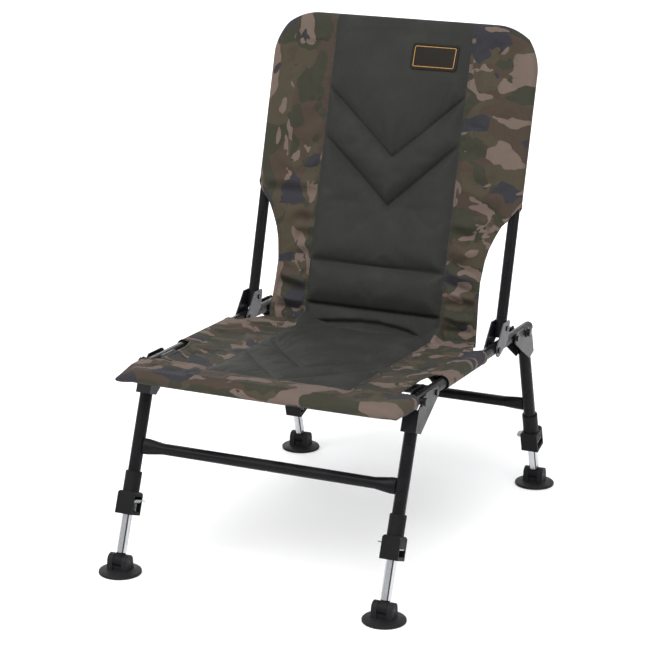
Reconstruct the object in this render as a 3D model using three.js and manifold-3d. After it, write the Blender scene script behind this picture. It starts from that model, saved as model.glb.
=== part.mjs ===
// Folding angler's chair with a reclined back, fold-under legs and four telescopic feet.
// Millimetres, +Z up. The sitter faces -Y and +X is the right side seen from the front.
// The origin is on the ground, midway between the feet.

import * as THREE from 'three';
import { mergeVertices } from 'three/addons/utils/BufferGeometryUtils.js';
import Module from 'manifold-3d';

const wasm = await Module();
wasm.setup();

const DEG = Math.PI / 180;

// Clearances
const gap = 0.3; // between pieces that touch
const boltPlay = 0.3; // round a shank in its hole
const slidePlay = 0.5; // round a sliding inner leg
const endClearance = 1.5; // square-cut tube ends to what they face
const overrun = 2; // a cutting tool past the face it cuts

// The whole chair
const railHalfSpacing = 222; // rails, legs and back tubes lie in these two side planes
const railHeight = 304.6; // rail centre above the ground, midway between the feet
const railTilt = 1.5; // degrees, lower at the rear
const seatFrontReach = 304; // pivots and ends are measured along the rail from the chair's middle
const railRearReach = 268;
const frontLegSetback = 132.5; // leg pivots inside the ends of the seat frame
const rearLegSetback = 83;
const backPivotReach = 100;
const backHeight = 509.5; // centre of the top tube above the back pivot
const backLean = 15.2; // degrees from upright
const backOffset = 27; // back tube axis behind its pivot

// Tubes and plate
const frameTube = { radius: 9, wall: 1.3, sides: 14, boreSides: 10 };
const legTube = { radius: 10, wall: 1.5, sides: 16 };
const innerTube = { radius: legTube.radius - legTube.wall - slidePlay, wall: 1.2, sides: 16 };
const seatBend = { radius: 32, bow: 2, cornerSteps: 5, bowSteps: 3 };
const backBend = { radius: 64, cornerSteps: 6 };
const plate = 2;

// Leg pairs: splay in degrees, leg axis out from its pivot, stop bolt out from the pivot,
// and the cross tube above the lock housings
const frontLeg = { name: 'front', facing: -1, splay: 20.5, offset: 50, stopReach: 55, crossUp: 40 };
const rearLeg = { name: 'rear', facing: 1, splay: 17.4, offset: 54, stopReach: 45, crossUp: 19 };
frontLeg.reach = seatFrontReach - frontLegSetback;
rearLeg.reach = railRearReach - rearLegSetback;
const outerLegLength = 212; // from the pivot's level down the leg axis
const innerLegLength = 196;

// Fasteners
const pivotBolt = { radius: 3, headRadius: 5, headHeight: 2, sides: 10 };
const rivet = { radius: 2.5, headRadius: 4.4, headHeight: 1.4, sides: 10 };
const stopBolt = { radius: 4, washerRadius: 8.5, washerHeight: 1.5, headRadius: 6.6, headHeight: 5, sides: 10 };

const sides = [['left', -1], ['right', 1]];

function material(name, color, roughness, metalness) {
  const look = new THREE.MeshStandardMaterial({ color, roughness, metalness });
  look.name = name;
  return look;
}

const finish = {
  frame: () => material('frame_paint', 0x1d1d1f, 0.42, 0.3),
  bracket: () => material('bracket_paint', 0x3a3a3f, 0.38, 0.4),
  aluminium: () => material('leg_aluminium', 0xc9cacc, 0.25, 1.0),
  plastic: () => material('moulded_plastic', 0x17171a, 0.6, 0.0),
  foot: () => material('foot_plastic', 0x202124, 0.65, 0.0),
  zinc: () => material('zinc_plate', 0xb8b9ba, 0.35, 0.9),
  bolt: () => material('bolt_black', 0x141416, 0.4, 0.6),
  cloth: () => material('camo_cloth', 0x5d5347, 0.9, 0.0),
};

// Solids for cutting and joining

function solidOf(geometry) {
  const bare = geometry.clone();
  bare.deleteAttribute('normal');
  bare.deleteAttribute('uv');
  const merged = mergeVertices(bare, 1e-4);
  return new wasm.Manifold(new wasm.Mesh({
    numProp: 3,
    vertProperties: new Float32Array(merged.attributes.position.array),
    triVerts: new Uint32Array(merged.index.array),
  }));
}

// The solid, turned right side out if its faces point in
function outwardSolid(geometry) {
  const solid = solidOf(geometry);
  if (solid.volume() > 0) return solid;
  const index = geometry.index.array;
  for (let i = 0; i < index.length; i += 3) {
    [index[i], index[i + 1]] = [index[i + 1], index[i]];
  }
  return solidOf(geometry);
}

function geometryOf(solid) {
  const mesh = solid.getMesh();
  const geometry = new THREE.BufferGeometry();
  geometry.setAttribute('position', new THREE.BufferAttribute(new Float32Array(mesh.vertProperties), 3));
  geometry.setIndex(new THREE.BufferAttribute(new Uint32Array(mesh.triVerts), 1));
  const faceted = geometry.toNonIndexed();
  faceted.computeVertexNormals();
  return faceted;
}

function join(...pieces) {
  return pieces.reduce((whole, piece) => whole.add(piece));
}

function cut(body, ...tools) {
  return tools.reduce((rest, tool) => rest.subtract(tool), body);
}

function cylinderX(radius, x0, x1, y, z, sideCount) {
  const g = new THREE.CylinderGeometry(radius, radius, Math.abs(x1 - x0), sideCount);
  g.rotateZ(Math.PI / 2);
  g.translate((x0 + x1) / 2, y, z);
  return solidOf(g);
}

function cylinderZ(radius, z0, z1, x, y, sideCount) {
  const g = new THREE.CylinderGeometry(radius, radius, Math.abs(z1 - z0), sideCount);
  g.rotateX(Math.PI / 2);
  g.translate(x, y, (z0 + z1) / 2);
  return solidOf(g);
}

function box(x0, x1, y0, y1, z0, z1) {
  const g = new THREE.BoxGeometry(Math.abs(x1 - x0), Math.abs(y1 - y0), Math.abs(z1 - z0));
  g.translate((x0 + x1) / 2, (y0 + y1) / 2, (z0 + z1) / 2);
  return solidOf(g);
}

// A flat shape of (y, z) drawn out along X
function plateYZ(shape, x0, x1, curveSegments = 3) {
  const g = new THREE.ExtrudeGeometry(shape, { depth: Math.abs(x1 - x0), bevelEnabled: false, curveSegments });
  const turn = new THREE.Matrix4().makeBasis(
    new THREE.Vector3(0, 1, 0), new THREE.Vector3(0, 0, 1), new THREE.Vector3(1, 0, 0));
  g.applyMatrix4(turn);
  g.translate(Math.min(x0, x1), 0, 0);
  return solidOf(g);
}

// A flat shape of (x, z) drawn out along Y
function plateXZ(shape, y0, y1, curveSegments = 3) {
  const g = new THREE.ExtrudeGeometry(shape, { depth: Math.abs(y1 - y0), bevelEnabled: false, curveSegments });
  g.rotateX(Math.PI / 2);
  g.translate(0, Math.max(y0, y1), 0);
  return solidOf(g);
}

function outline(points) {
  return new THREE.Shape(points.map(([a, b]) => new THREE.Vector2(a, b)));
}

function disc(radius) {
  const shape = new THREE.Shape();
  shape.absarc(0, 0, radius, 0, 2 * Math.PI, false);
  return shape;
}

function lathe(profile, sideCount) {
  return new THREE.LatheGeometry(profile.map(([r, h]) => new THREE.Vector2(r, h)), sideCount);
}

// A path through chosen stations, so that long straights take no extra steps
class StationPath extends THREE.Curve {
  constructor(stations) {
    super();
    this.stations = stations;
  }

  getPoint(t, target = new THREE.Vector3()) {
    const at = t * (this.stations.length - 1);
    const i = Math.min(Math.floor(at + 1e-6), this.stations.length - 2);
    return target.copy(this.stations[i]).lerp(this.stations[i + 1], at - i);
  }

  getPointAt(u, target) {
    return this.getPoint(u, target);
  }

  getTangent(t, target = new THREE.Vector3()) {
    const i = Math.round(t * (this.stations.length - 1));
    const before = this.stations[Math.max(i - 1, 0)];
    const after = this.stations[Math.min(i + 1, this.stations.length - 1)];
    return target.copy(after).sub(before).normalize();
  }

  getTangentAt(u, target) {
    return this.getTangent(u, target);
  }
}

function sweep(stations, radius, sideCount) {
  const g = new THREE.ExtrudeGeometry(disc(radius), {
    steps: stations.length - 1,
    curveSegments: sideCount / 2, // a full circle gets twice this many sides
    bevelEnabled: false,
    extrudePath: new StationPath(stations),
  });
  return solidOf(g);
}

// The same stations with both ends pushed out
function stretched(stations, by) {
  const out = stations.map((p) => p.clone());
  const last = out.length - 1;
  out[0].add(stations[0].clone().sub(stations[1]).setLength(by));
  out[last].add(stations[last].clone().sub(stations[last - 1]).setLength(by));
  return out;
}

function bentTube(stations, tube) {
  const bore = sweep(stretched(stations, overrun), tube.radius - tube.wall, tube.boreSides);
  return sweep(stations, tube.radius, tube.sides).subtract(bore);
}

// The radius of a many-sided bore whose flats clear a round bar
function boreRound(radius, clearance, sideCount) {
  return (radius + clearance) / Math.cos(Math.PI / sideCount);
}

// Right half of a bent frame tube, mirrored into the left half through a middle station
function mirrored(right, middle) {
  const left = right.map((p) => new THREE.Vector3(-p.x, p.y, p.z)).reverse();
  return [...right, middle, ...left];
}

function addMesh(group, name, solid, look) {
  const mesh = new THREE.Mesh(geometryOf(solid), look());
  mesh.name = name;
  group.add(mesh);
}

// Fasteners about X, with their middle at x = 0

function headedPin(bolt, reach, y, z) {
  return join(
    cylinderX(bolt.radius, -reach, reach, y, z, bolt.sides),
    cylinderX(bolt.headRadius, reach, reach + bolt.headHeight, y, z, bolt.sides),
    cylinderX(bolt.headRadius, -reach - bolt.headHeight, -reach, y, z, bolt.sides));
}

function washeredBolt(bolt, reach) {
  const washerEnd = reach + bolt.washerHeight;
  const headEnd = washerEnd + bolt.headHeight;
  return join(
    cylinderX(bolt.radius, -washerEnd, washerEnd, 0, 0, bolt.sides),
    cylinderX(bolt.washerRadius, reach, washerEnd, 0, 0, 12),
    cylinderX(bolt.washerRadius, -washerEnd, -reach, 0, 0, 12),
    cylinderX(bolt.headRadius, washerEnd, headEnd, 0, 0, 6),
    cylinderX(bolt.headRadius, -headEnd, -washerEnd, 0, 0, 6));
}

// A hole through a tube in one side plane, for a bolt along X
function crossBore(x, radius, y, z) {
  const reach = frameTube.radius + overrun;
  return cylinderX(radius + boltPlay, x - reach, x + reach, y, z, 10);
}

// Seat frame: one tube bent to a U, in rail axes (y along the rail, z up from it)

// The front tube bows forward in the middle
function seatFrontAt(x) {
  const share = Math.min(Math.abs(x) / (railHalfSpacing - seatBend.radius), 1);
  return -seatFrontReach + seatBend.bow * share * share;
}

// Middle of the U to the tube's centre line, at a place along the rail
function seatHalfWidthAt(y) {
  const bendStart = -seatFrontReach + seatBend.bow + seatBend.radius;
  const into = THREE.MathUtils.clamp(bendStart - y, 0, seatBend.radius);
  return railHalfSpacing - seatBend.radius + Math.sqrt(seatBend.radius ** 2 - into ** 2);
}

function seatStations(rearEnd) {
  const r = seatBend.radius;
  const innerX = railHalfSpacing - r;
  const bendY = -seatFrontReach + seatBend.bow + r;
  const right = [
    new THREE.Vector3(railHalfSpacing, rearEnd, 0),
    new THREE.Vector3(railHalfSpacing, (rearEnd + bendY) / 2, 0),
  ];
  for (let i = 0; i <= seatBend.cornerSteps; i++) {
    const a = (i / seatBend.cornerSteps) * (Math.PI / 2);
    right.push(new THREE.Vector3(innerX + r * Math.cos(a), bendY - r * Math.sin(a), 0));
  }
  for (let i = 1; i < seatBend.bowSteps; i++) {
    const x = innerX * (1 - i / seatBend.bowSteps);
    right.push(new THREE.Vector3(x, seatFrontAt(x), 0));
  }
  return mirrored(right, new THREE.Vector3(0, -seatFrontReach, 0));
}

function seatFrame() {
  const bores = [];
  for (const [, side] of sides) {
    const x = side * railHalfSpacing;
    bores.push(crossBore(x, pivotBolt.radius, backPivotReach, 0));
    for (const leg of [frontLeg, rearLeg]) {
      bores.push(crossBore(x, pivotBolt.radius, leg.facing * leg.reach, 0));
      bores.push(crossBore(x, stopBolt.radius, leg.facing * (leg.reach + leg.stopReach), 0));
    }
  }
  return cut(bentTube(seatStations(railRearReach), frameTube), ...bores);
}

const endCap = { stub: 12, dome: 6, domeSteps: 4 };

function railEndCap(side) {
  const stubRadius = (frameTube.radius - frameTube.wall) * Math.cos(Math.PI / frameTube.boreSides) - gap;
  const profile = [[0, -endCap.stub], [stubRadius, -endCap.stub], [stubRadius, gap], [frameTube.radius, gap]];
  for (let i = 1; i < endCap.domeSteps; i++) {
    const a = (i / endCap.domeSteps) * (Math.PI / 2);
    profile.push([frameTube.radius * Math.cos(a), gap + endCap.dome * Math.sin(a)]);
  }
  profile.push([0, gap + endCap.dome]);
  const g = lathe(profile, frameTube.sides);
  g.translate(side * railHalfSpacing, railRearReach, 0);
  return solidOf(g);
}

// Leg brackets, in leg axes: a U of plate that straddles the rail and is welded to the leg.
// "Out" is away from the chair's middle and "down" is along the leg.

const bracket = {
  inner: Math.max(legTube.radius, frameTube.radius) + gap,
  lobeRadius: 10,
  lobeTurnShare: 0.8, // of half a turn, round the pivot
  lobeSteps: 5,
  seatSteps: 6,
  seatPlay: 0.4,
  down: 66,
};
bracket.outer = bracket.inner + plate;

function leanOf(leg) {
  return (leg.splay + leg.facing * railTilt) * DEG;
}

// A point out from the pivot along the rail and up from it, in leg axes
function fromRail(leg, out, up) {
  const lean = leanOf(leg);
  return [out * Math.cos(lean) + up * Math.sin(lean), up * Math.cos(lean) - out * Math.sin(lean)];
}

// How far down a square-cut top must be, at a distance out, to clear the rail above it
function topUnderRail(leg, out, clearance) {
  const lean = leanOf(leg);
  return (out * Math.sin(lean) + frameTube.radius + clearance) / Math.cos(lean);
}

function webTop(leg) {
  return topUnderRail(leg, leg.offset + bracket.outer, 2 * gap);
}

// Round the pivot, down the leg, up to the open seat that rests under the stop bolt
function flangeShape(leg) {
  const seat = stopBolt.radius + bracket.seatPlay;
  const bolt = leg.stopReach;
  const lobe = bracket.lobeRadius;
  const points = [];
  for (let i = 0; i <= bracket.lobeSteps; i++) {
    const a = Math.PI / 2 + (bracket.lobeTurnShare * Math.PI * i) / bracket.lobeSteps;
    points.push(fromRail(leg, lobe * Math.cos(a), lobe * Math.sin(a)));
  }
  points.push([leg.offset - legTube.radius, -bracket.down]);
  points.push([leg.offset + bracket.outer, -bracket.down]);
  points.push([leg.offset + bracket.outer, -webTop(leg)]);
  points.push(fromRail(leg, bolt + seat + plate, -seat));
  for (let i = 0; i <= bracket.seatSteps; i++) {
    const a = (-i / bracket.seatSteps) * Math.PI;
    points.push(fromRail(leg, bolt + seat * Math.cos(a), seat * Math.sin(a)));
  }
  points.push(fromRail(leg, bolt - seat - lobe, lobe));
  return outline(points.map(([out, z]) => [leg.facing * out, z]));
}

function legBracket(leg) {
  const flange = flangeShape(leg);
  const webInner = leg.facing * (leg.offset + bracket.inner);
  const webOuter = leg.facing * (leg.offset + bracket.outer);
  const body = join(
    plateYZ(flange, bracket.inner, bracket.outer),
    plateYZ(flange, -bracket.outer, -bracket.inner),
    box(-bracket.outer, bracket.outer, webInner, webOuter, -webTop(leg), -bracket.down));
  const reach = bracket.outer + overrun;
  return cut(body, cylinderX(pivotBolt.radius + boltPlay, -reach, reach, 0, 0, 10));
}

function legTubeSolid(leg) {
  const y = leg.facing * leg.offset;
  const top = -topUnderRail(leg, leg.offset + legTube.radius, endClearance);
  const bore = cylinderZ(legTube.radius - legTube.wall, top + overrun, -outerLegLength - overrun, 0, y, legTube.sides);
  return cut(cylinderZ(legTube.radius, top, -outerLegLength, 0, y, legTube.sides), bore);
}

// Lock housing: a collar over the leg tube and a block that holds the lock plate.
// Heights are measured up from the block's bottom.

const housing = {
  belowTube: 43, // the block's bottom below the end of the leg tube
  blockTop: 36,
  collarTop: 68,
  collarWall: 2.7,
  collarSides: 18,
  edge: 1.2,
  shoulder: 5,
  wall: 4,
  backWall: 3,
  ceiling: 29,
  floor: 5.5,
};

// Lock plate, seen along the front: flat, then bent up to a thumb tab. Heights are its middle.
const lockPlate = {
  thickness: 1.8,
  rim: 2.1, // plate left beside its hole
  holePlay: 0.9,
  endInset: 0.9, // outboard end inside the block's face
  endHeight: 16.6,
  lift: 3.3, // rise from the outboard end to the bend
  bendInset: 1.9, // bend inside the block's face
  stepLength: 3,
  stepRise: 3.5,
  tabLength: 9.4,
  tabRise: 0.6,
  tabHalfWidth: 8,
  tabCorner: 5,
};
lockPlate.halfWidth = innerTube.radius + lockPlate.holePlay + lockPlate.rim;

housing.slotHalf = lockPlate.halfWidth + gap;
housing.half = housing.slotHalf + housing.backWall + gap; // square block
housing.collarRadius = legTube.radius + gap + housing.collarWall;
housing.bottom = outerLegLength + housing.belowTube;

const plateEnd = housing.half - lockPlate.endInset;
const plateBend = housing.half - lockPlate.bendInset;
const plateSlope = lockPlate.lift / (plateEnd + plateBend);

// Height of the plate's middle above the block's bottom, at a distance inboard of the leg
function plateHeightAt(inboard) {
  return lockPlate.endHeight + plateSlope * (inboard + plateEnd);
}

function lockHousing(leg, side) {
  const y = leg.facing * leg.offset;
  const inboard = -side;
  const bottom = -housing.bottom;
  const top = bottom + housing.blockTop;
  const collarTop = bottom + housing.collarTop;
  const c = housing.shoulder;
  const w = housing.half;
  const block = new THREE.Shape();
  block.moveTo(-w, bottom);
  block.lineTo(w, bottom);
  block.lineTo(w, top - c);
  block.absarc(w - c, top - c, c, 0, Math.PI / 2, false);
  block.lineTo(c - w, top);
  block.absarc(c - w, top - c, c, Math.PI / 2, Math.PI, false);
  const collar = lathe([
    [0, top - c],
    [housing.collarRadius, top - c],
    [housing.collarRadius, collarTop - housing.edge],
    [housing.collarRadius - housing.edge, collarTop],
    [0, collarTop],
  ], housing.collarSides);
  collar.rotateX(Math.PI / 2);
  collar.translate(0, y, 0);
  const s = housing.slotHalf;
  const inside = w - housing.wall;
  const past = w + overrun;
  const windowTop = bottom + plateHeightAt(-inside) + lockPlate.thickness / 2 + gap;
  const bore = innerTube.radius + gap;
  const socket = boreRound(legTube.radius, gap / 2, legTube.sides);
  return cut(join(plateXZ(block, y - w, y + w, 2), solidOf(collar)),
    cylinderZ(bore, collarTop + overrun, bottom - overrun, 0, y, 16),
    cylinderZ(socket, collarTop + overrun, -outerLegLength - gap, 0, y, legTube.sides),
    box(-inboard * inside, inboard * past, y - s, y + s, bottom + housing.ceiling, bottom + housing.floor),
    box(-inboard * inside / 2, -inboard * past, y - s, y + s, windowTop, bottom + housing.floor));
}

function lockPlateSolid(leg, side) {
  const p = lockPlate;
  const y = leg.facing * leg.offset;
  const inboard = -side;
  const bottom = -housing.bottom;
  const half = p.thickness / 2;
  const bendHeight = plateHeightAt(plateBend);
  const stepX = plateBend + p.stepLength;
  const stepHeight = bendHeight + p.stepRise;
  const line = [
    [-plateEnd, p.endHeight],
    [plateBend, bendHeight],
    [stepX, stepHeight],
    [stepX + p.tabLength, stepHeight + p.tabRise],
  ];
  const upper = line.map(([x, h]) => [inboard * x, bottom + h + half]);
  const lower = line.map(([x, h]) => [inboard * x, bottom + h - half]).reverse();
  const strip = plateXZ(outline([...upper, ...lower]), y - p.halfWidth, y + p.halfWidth);
  // seen along the leg: a wide plate with a narrower rounded tab
  const wide = p.halfWidth + overrun;
  const tip = stepX + p.tabLength - p.tabCorner;
  const narrow = p.tabHalfWidth - p.tabCorner;
  const plan = new THREE.Shape();
  plan.moveTo(-housing.half, -wide);
  plan.lineTo(plateBend, -wide);
  plan.lineTo(stepX, -p.tabHalfWidth);
  plan.lineTo(tip, -p.tabHalfWidth);
  plan.absarc(tip, -narrow, p.tabCorner, -Math.PI / 2, 0, false);
  plan.absarc(tip, narrow, p.tabCorner, 0, Math.PI / 2, false);
  plan.lineTo(stepX, p.tabHalfWidth);
  plan.lineTo(plateBend, wide);
  plan.lineTo(-housing.half, wide);
  const trim = new THREE.ExtrudeGeometry(plan, { depth: housing.collarTop, bevelEnabled: false, curveSegments: 2 });
  if (inboard < 0) trim.rotateZ(Math.PI);
  trim.translate(0, y, bottom);
  const hole = cylinderZ(innerTube.radius + p.holePlay, bottom, bottom + housing.collarTop, 0, y, 16);
  return strip.intersect(solidOf(trim)).subtract(hole);
}

// Small compression spring under the plate, between the inner leg and the inboard window
const lockSpring = { wire: 0.45, coil: 2.1, turns: 5, stepsPerTurn: 8, wireSides: 5 };
lockSpring.place = innerTube.radius + lockSpring.coil + lockSpring.wire + 2 * gap;

function springPoints() {
  const s = lockSpring;
  const reach = s.coil + s.wire;
  const low = housing.floor + gap + s.wire;
  const high = plateHeightAt(s.place - reach) - lockPlate.thickness / 2 - gap - s.wire;
  const count = s.turns * s.stepsPerTurn;
  const points = [];
  for (let i = 0; i <= count; i++) {
    const a = (i / s.stepsPerTurn) * 2 * Math.PI;
    const height = THREE.MathUtils.lerp(low, high, i / count);
    points.push(new THREE.Vector3(s.coil * Math.cos(a), s.coil * Math.sin(a), height - housing.bottom));
  }
  return points;
}

function lockSpringSolid(leg, side) {
  const points = springPoints();
  const n = lockSpring.wireSides;
  const positions = [];
  const faces = [];
  points.forEach((p, i) => {
    const before = points[Math.max(i - 1, 0)];
    const after = points[Math.min(i + 1, points.length - 1)];
    const along = after.clone().sub(before).normalize();
    const across = new THREE.Vector3(p.x, p.y, 0).cross(along).normalize();
    const outward = new THREE.Vector3().crossVectors(along, across);
    for (let k = 0; k < n; k++) {
      const a = (k / n) * 2 * Math.PI;
      const at = p.clone()
        .addScaledVector(outward, lockSpring.wire * Math.cos(a))
        .addScaledVector(across, lockSpring.wire * Math.sin(a));
      positions.push(at.x, at.y, at.z);
    }
  });
  const last = (points.length - 1) * n;
  for (let ring = 0; ring < last; ring += n) {
    for (let k = 0; k < n; k++) {
      const a = ring + k;
      const b = ring + ((k + 1) % n);
      faces.push(a, a + n, b, b, a + n, b + n);
    }
  }
  for (let k = 1; k + 1 < n; k++) {
    faces.push(0, k, k + 1, last, last + k + 1, last + k);
  }
  const g = new THREE.BufferGeometry();
  g.setAttribute('position', new THREE.BufferAttribute(new Float32Array(positions), 3));
  g.setIndex(faces);
  g.translate(-side * lockSpring.place, leg.facing * leg.offset, 0);
  return outwardSolid(g);
}

function springLeastGap() {
  const points = springPoints();
  let least = Infinity;
  for (let i = 0; i < points.length; i++) {
    for (let j = i + lockSpring.stepsPerTurn / 2 + 1; j < points.length; j++) {
      least = Math.min(least, points[i].distanceTo(points[j]));
    }
  }
  return least - 2 * lockSpring.wire;
}

// Cross tube between two legs, with both ends pressed flat and tall
const crossTube = { radius: 9, wall: 1.5, press: 26, flat: 8, tallHalf: 12.5, thinHalf: 5.5, vent: 2.5, sides: 16 };

function pressedTube(half, trim) {
  const c = crossTube;
  const stations = [-half, -half + c.flat, -half + c.flat + c.press, half - c.flat - c.press, half - c.flat, half];
  const g = new THREE.CylinderGeometry(1, 1, 1, c.sides, stations.length - 1);
  g.rotateZ(Math.PI / 2);
  const p = g.attributes.position;
  for (let i = 0; i < p.count; i++) {
    const station = stations[Math.round((p.getX(i) + 1 / 2) * (stations.length - 1))];
    const pressed = Math.abs(station) >= half - c.flat;
    const deep = (pressed ? c.thinHalf : c.radius) - trim;
    const tall = (pressed ? c.tallHalf : c.radius) - trim;
    p.setXYZ(i, station, p.getY(i) * deep, p.getZ(i) * tall);
  }
  return solidOf(g);
}

function crossTubeSolid(leg) {
  const c = crossTube;
  const half = railHalfSpacing - legTube.radius - gap;
  const vent = cylinderZ(c.vent, 0, -c.radius - overrun, 0, 0, 8);
  const tube = cut(pressedTube(half, 0), pressedTube(half - c.wall, c.wall), vent);
  const down = housing.bottom - housing.collarTop - leg.crossUp;
  return tube.translate([0, leg.facing * leg.offset, -down]);
}

// Feet: a knuckle on the inner leg swivels between the ears of a round mud foot

const knuckle = { radius: 10.8, halfWidth: 7.5, neck: 7.2, plug: 14, sides: 18 };
const anklePin = { radius: 2.5, sides: 10 };
const foot = {
  radius: 33.5,
  rim: 5,
  crown: 7,
  crownRadius: 19,
  edge: 1,
  sides: 26,
  earPlay: 0.4,
  earWidth: 9.1,
  earGrow: 0.2, // ear radius over the knuckle's
  earFlare: 1.5,
  underKnuckle: 2.2, // crown to knuckle
  saddleHalf: 9.5, // the saddle under the knuckle, between the ears
  saddleTop: -4,
  saddlePlay: 0.5,
  saddleSides: 24,
};
foot.pinHeight = foot.crown + foot.underKnuckle + knuckle.radius;
foot.earInner = knuckle.halfWidth + foot.earPlay;
foot.earOuter = foot.earInner + foot.earWidth;

function pivotHeight(leg) {
  return railHeight - leg.facing * leg.reach * Math.sin(railTilt * DEG);
}

// The ankle pin's distance down the leg axis that stands the foot on the ground
function ankleDown(leg) {
  const splay = leg.splay * DEG;
  return (pivotHeight(leg) + leg.offset * Math.sin(splay) - foot.pinHeight) / Math.cos(splay);
}

function footReach(leg) {
  const splay = leg.splay * DEG;
  const pivotOut = leg.reach * Math.cos(railTilt * DEG);
  return pivotOut + leg.offset * Math.cos(splay) + ankleDown(leg) * Math.sin(splay);
}

function innerLegSolid(leg) {
  const y = leg.facing * leg.offset;
  const bottom = -ankleDown(leg) + knuckle.radius + endClearance;
  const top = bottom + innerLegLength;
  const bore = cylinderZ(innerTube.radius - innerTube.wall, bottom - overrun, top + overrun, 0, y, innerTube.sides);
  return cut(cylinderZ(innerTube.radius, bottom, top, 0, y, innerTube.sides), bore);
}

function knuckleSolid(leg) {
  const y = leg.facing * leg.offset;
  const pin = -ankleDown(leg);
  const shoulder = pin + knuckle.radius + endClearance - gap;
  const plug = innerTube.radius - innerTube.wall - gap;
  const reach = knuckle.halfWidth + overrun;
  const body = join(
    cylinderX(knuckle.radius, -knuckle.halfWidth, knuckle.halfWidth, y, pin, knuckle.sides),
    cylinderZ(knuckle.neck, pin, shoulder, 0, y, 12),
    cylinderZ(plug, pin, shoulder + knuckle.plug, 0, y, innerTube.sides));
  return cut(body, cylinderX(anklePin.radius + boltPlay, -reach, reach, y, pin, 10));
}

// About the ankle pin, level with the ground
function mudFoot() {
  const ground = -foot.pinHeight;
  const e = foot.edge;
  const base = lathe([
    [0, ground],
    [foot.radius - e, ground],
    [foot.radius, ground + e],
    [foot.radius, ground + foot.rim - e],
    [foot.radius - e, ground + foot.rim],
    [foot.crownRadius, ground + foot.crown],
    [0, ground + foot.crown],
  ], foot.sides);
  base.rotateX(Math.PI / 2);
  const r = knuckle.radius + foot.earGrow;
  const low = ground + foot.rim - e;
  const ear = new THREE.Shape();
  ear.moveTo(-r - foot.earFlare, low);
  ear.lineTo(r + foot.earFlare, low);
  ear.lineTo(r, 0);
  ear.absarc(0, 0, r, 0, Math.PI, false);
  const reach = foot.earOuter + overrun;
  const into = foot.earInner + gap;
  const round = knuckle.radius + foot.saddlePlay;
  const saddle = cut(
    box(-into, into, -foot.saddleHalf, foot.saddleHalf, low, foot.saddleTop),
    cylinderX(round, -foot.earInner, foot.earInner, 0, 0, foot.saddleSides));
  return cut(
    join(solidOf(base), saddle,
      plateYZ(ear, foot.earInner, foot.earOuter, 5),
      plateYZ(ear, -foot.earOuter, -foot.earInner, 5)),
    cylinderX(anklePin.radius + boltPlay, -reach, reach, 0, 0, 10));
}

// Back frame and hinges, in back axes: z up the back and y rearward, from the back pivot

const backAngle = (backLean - railTilt) * DEG; // from square to the rail

function backHalfWidthAt(z) {
  const into = THREE.MathUtils.clamp(z - backHeight + backBend.radius, 0, backBend.radius);
  return railHalfSpacing - backBend.radius + Math.sqrt(backBend.radius ** 2 - into ** 2);
}

function backStations(lowerEnd) {
  const r = backBend.radius;
  const bendZ = backHeight - r;
  const right = [
    new THREE.Vector3(railHalfSpacing, backOffset, lowerEnd),
    new THREE.Vector3(railHalfSpacing, backOffset, (lowerEnd + bendZ) / 2),
  ];
  for (let i = 0; i <= backBend.cornerSteps; i++) {
    const a = (i / backBend.cornerSteps) * (Math.PI / 2);
    right.push(new THREE.Vector3(railHalfSpacing - r + r * Math.cos(a), backOffset, bendZ + r * Math.sin(a)));
  }
  return mirrored(right, new THREE.Vector3(0, backOffset, backHeight));
}

// How high a square-cut end must be, at a distance behind the pivot, to clear the rail under it
function endOverRail(behind, clearance) {
  return behind * Math.tan(backAngle) + (frameTube.radius + clearance) / Math.cos(backAngle);
}

const backTubeEnd = endOverRail(backOffset + frameTube.radius, endClearance);

const hinge = {
  inner: frameTube.radius + gap,
  noseRadius: 11,
  frontTop: 44,
  rearTop: 50,
  topCorner: 4,
  rivetUp: 36,
  ahead: 9, // front edge ahead of the back tube, at its top
  heel: 6, // plate above the pivot's level at its rear lower corner
};
hinge.outer = hinge.inner + plate;

function backFrame() {
  const bores = sides.map(([, side]) => crossBore(side * railHalfSpacing, rivet.radius, backOffset, hinge.rivetUp));
  return cut(bentTube(backStations(backTubeEnd), frameTube), ...bores);
}

function backHinge() {
  const h = hinge;
  const rear = backOffset + h.inner + plate;
  const webEnd = endOverRail(rear, gap); // rests on the rail
  const r = h.noseRadius;
  const shape = new THREE.Shape();
  shape.moveTo(backOffset, h.heel);
  shape.lineTo(rear, webEnd);
  shape.lineTo(rear, h.rearTop - h.topCorner);
  shape.lineTo(rear - h.topCorner, h.rearTop);
  shape.lineTo(backOffset - frameTube.radius - h.ahead, h.frontTop);
  shape.absarc(0, 0, r, 0.88 * Math.PI, 1.7 * Math.PI, false);
  const body = join(
    plateYZ(shape, h.inner, h.outer, 5),
    plateYZ(shape, -h.outer, -h.inner, 5),
    box(-h.outer, h.outer, rear - plate, rear, webEnd, h.rearTop - h.topCorner));
  const reach = h.outer + overrun;
  return cut(body,
    cylinderX(pivotBolt.radius + boltPlay, -reach, reach, 0, 0, 10),
    cylinderX(rivet.radius + boltPlay, -reach, reach, backOffset, h.rivetUp, 10));
}

// Covers: a sleeve of cloth sewn round the tube, and a panel with a padded middle

const cloth = {
  sleeve: 2,
  strip: 4, // side strips, two layers
  pad: 10, // crown of the padding
  seam: 3.5,
  creaseGap: 1.6, // between the two covers
};
const sleeveSides = 10;
const sleeveBore = boreRound(frameTube.radius, gap / 2, sleeveSides);
const sleeveRadius = frameTube.radius + gap + cloth.sleeve;
const panelHalf = 120;

// Columns across half a cover: shares of the padded panel, then of the strip beside it
const panelShares = [0, 0.3, 0.6, 0.88];
const padShares = [1, 0.97, 0.85, 0.5];
const stripShares = [0.08, 0.45, 1];

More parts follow.
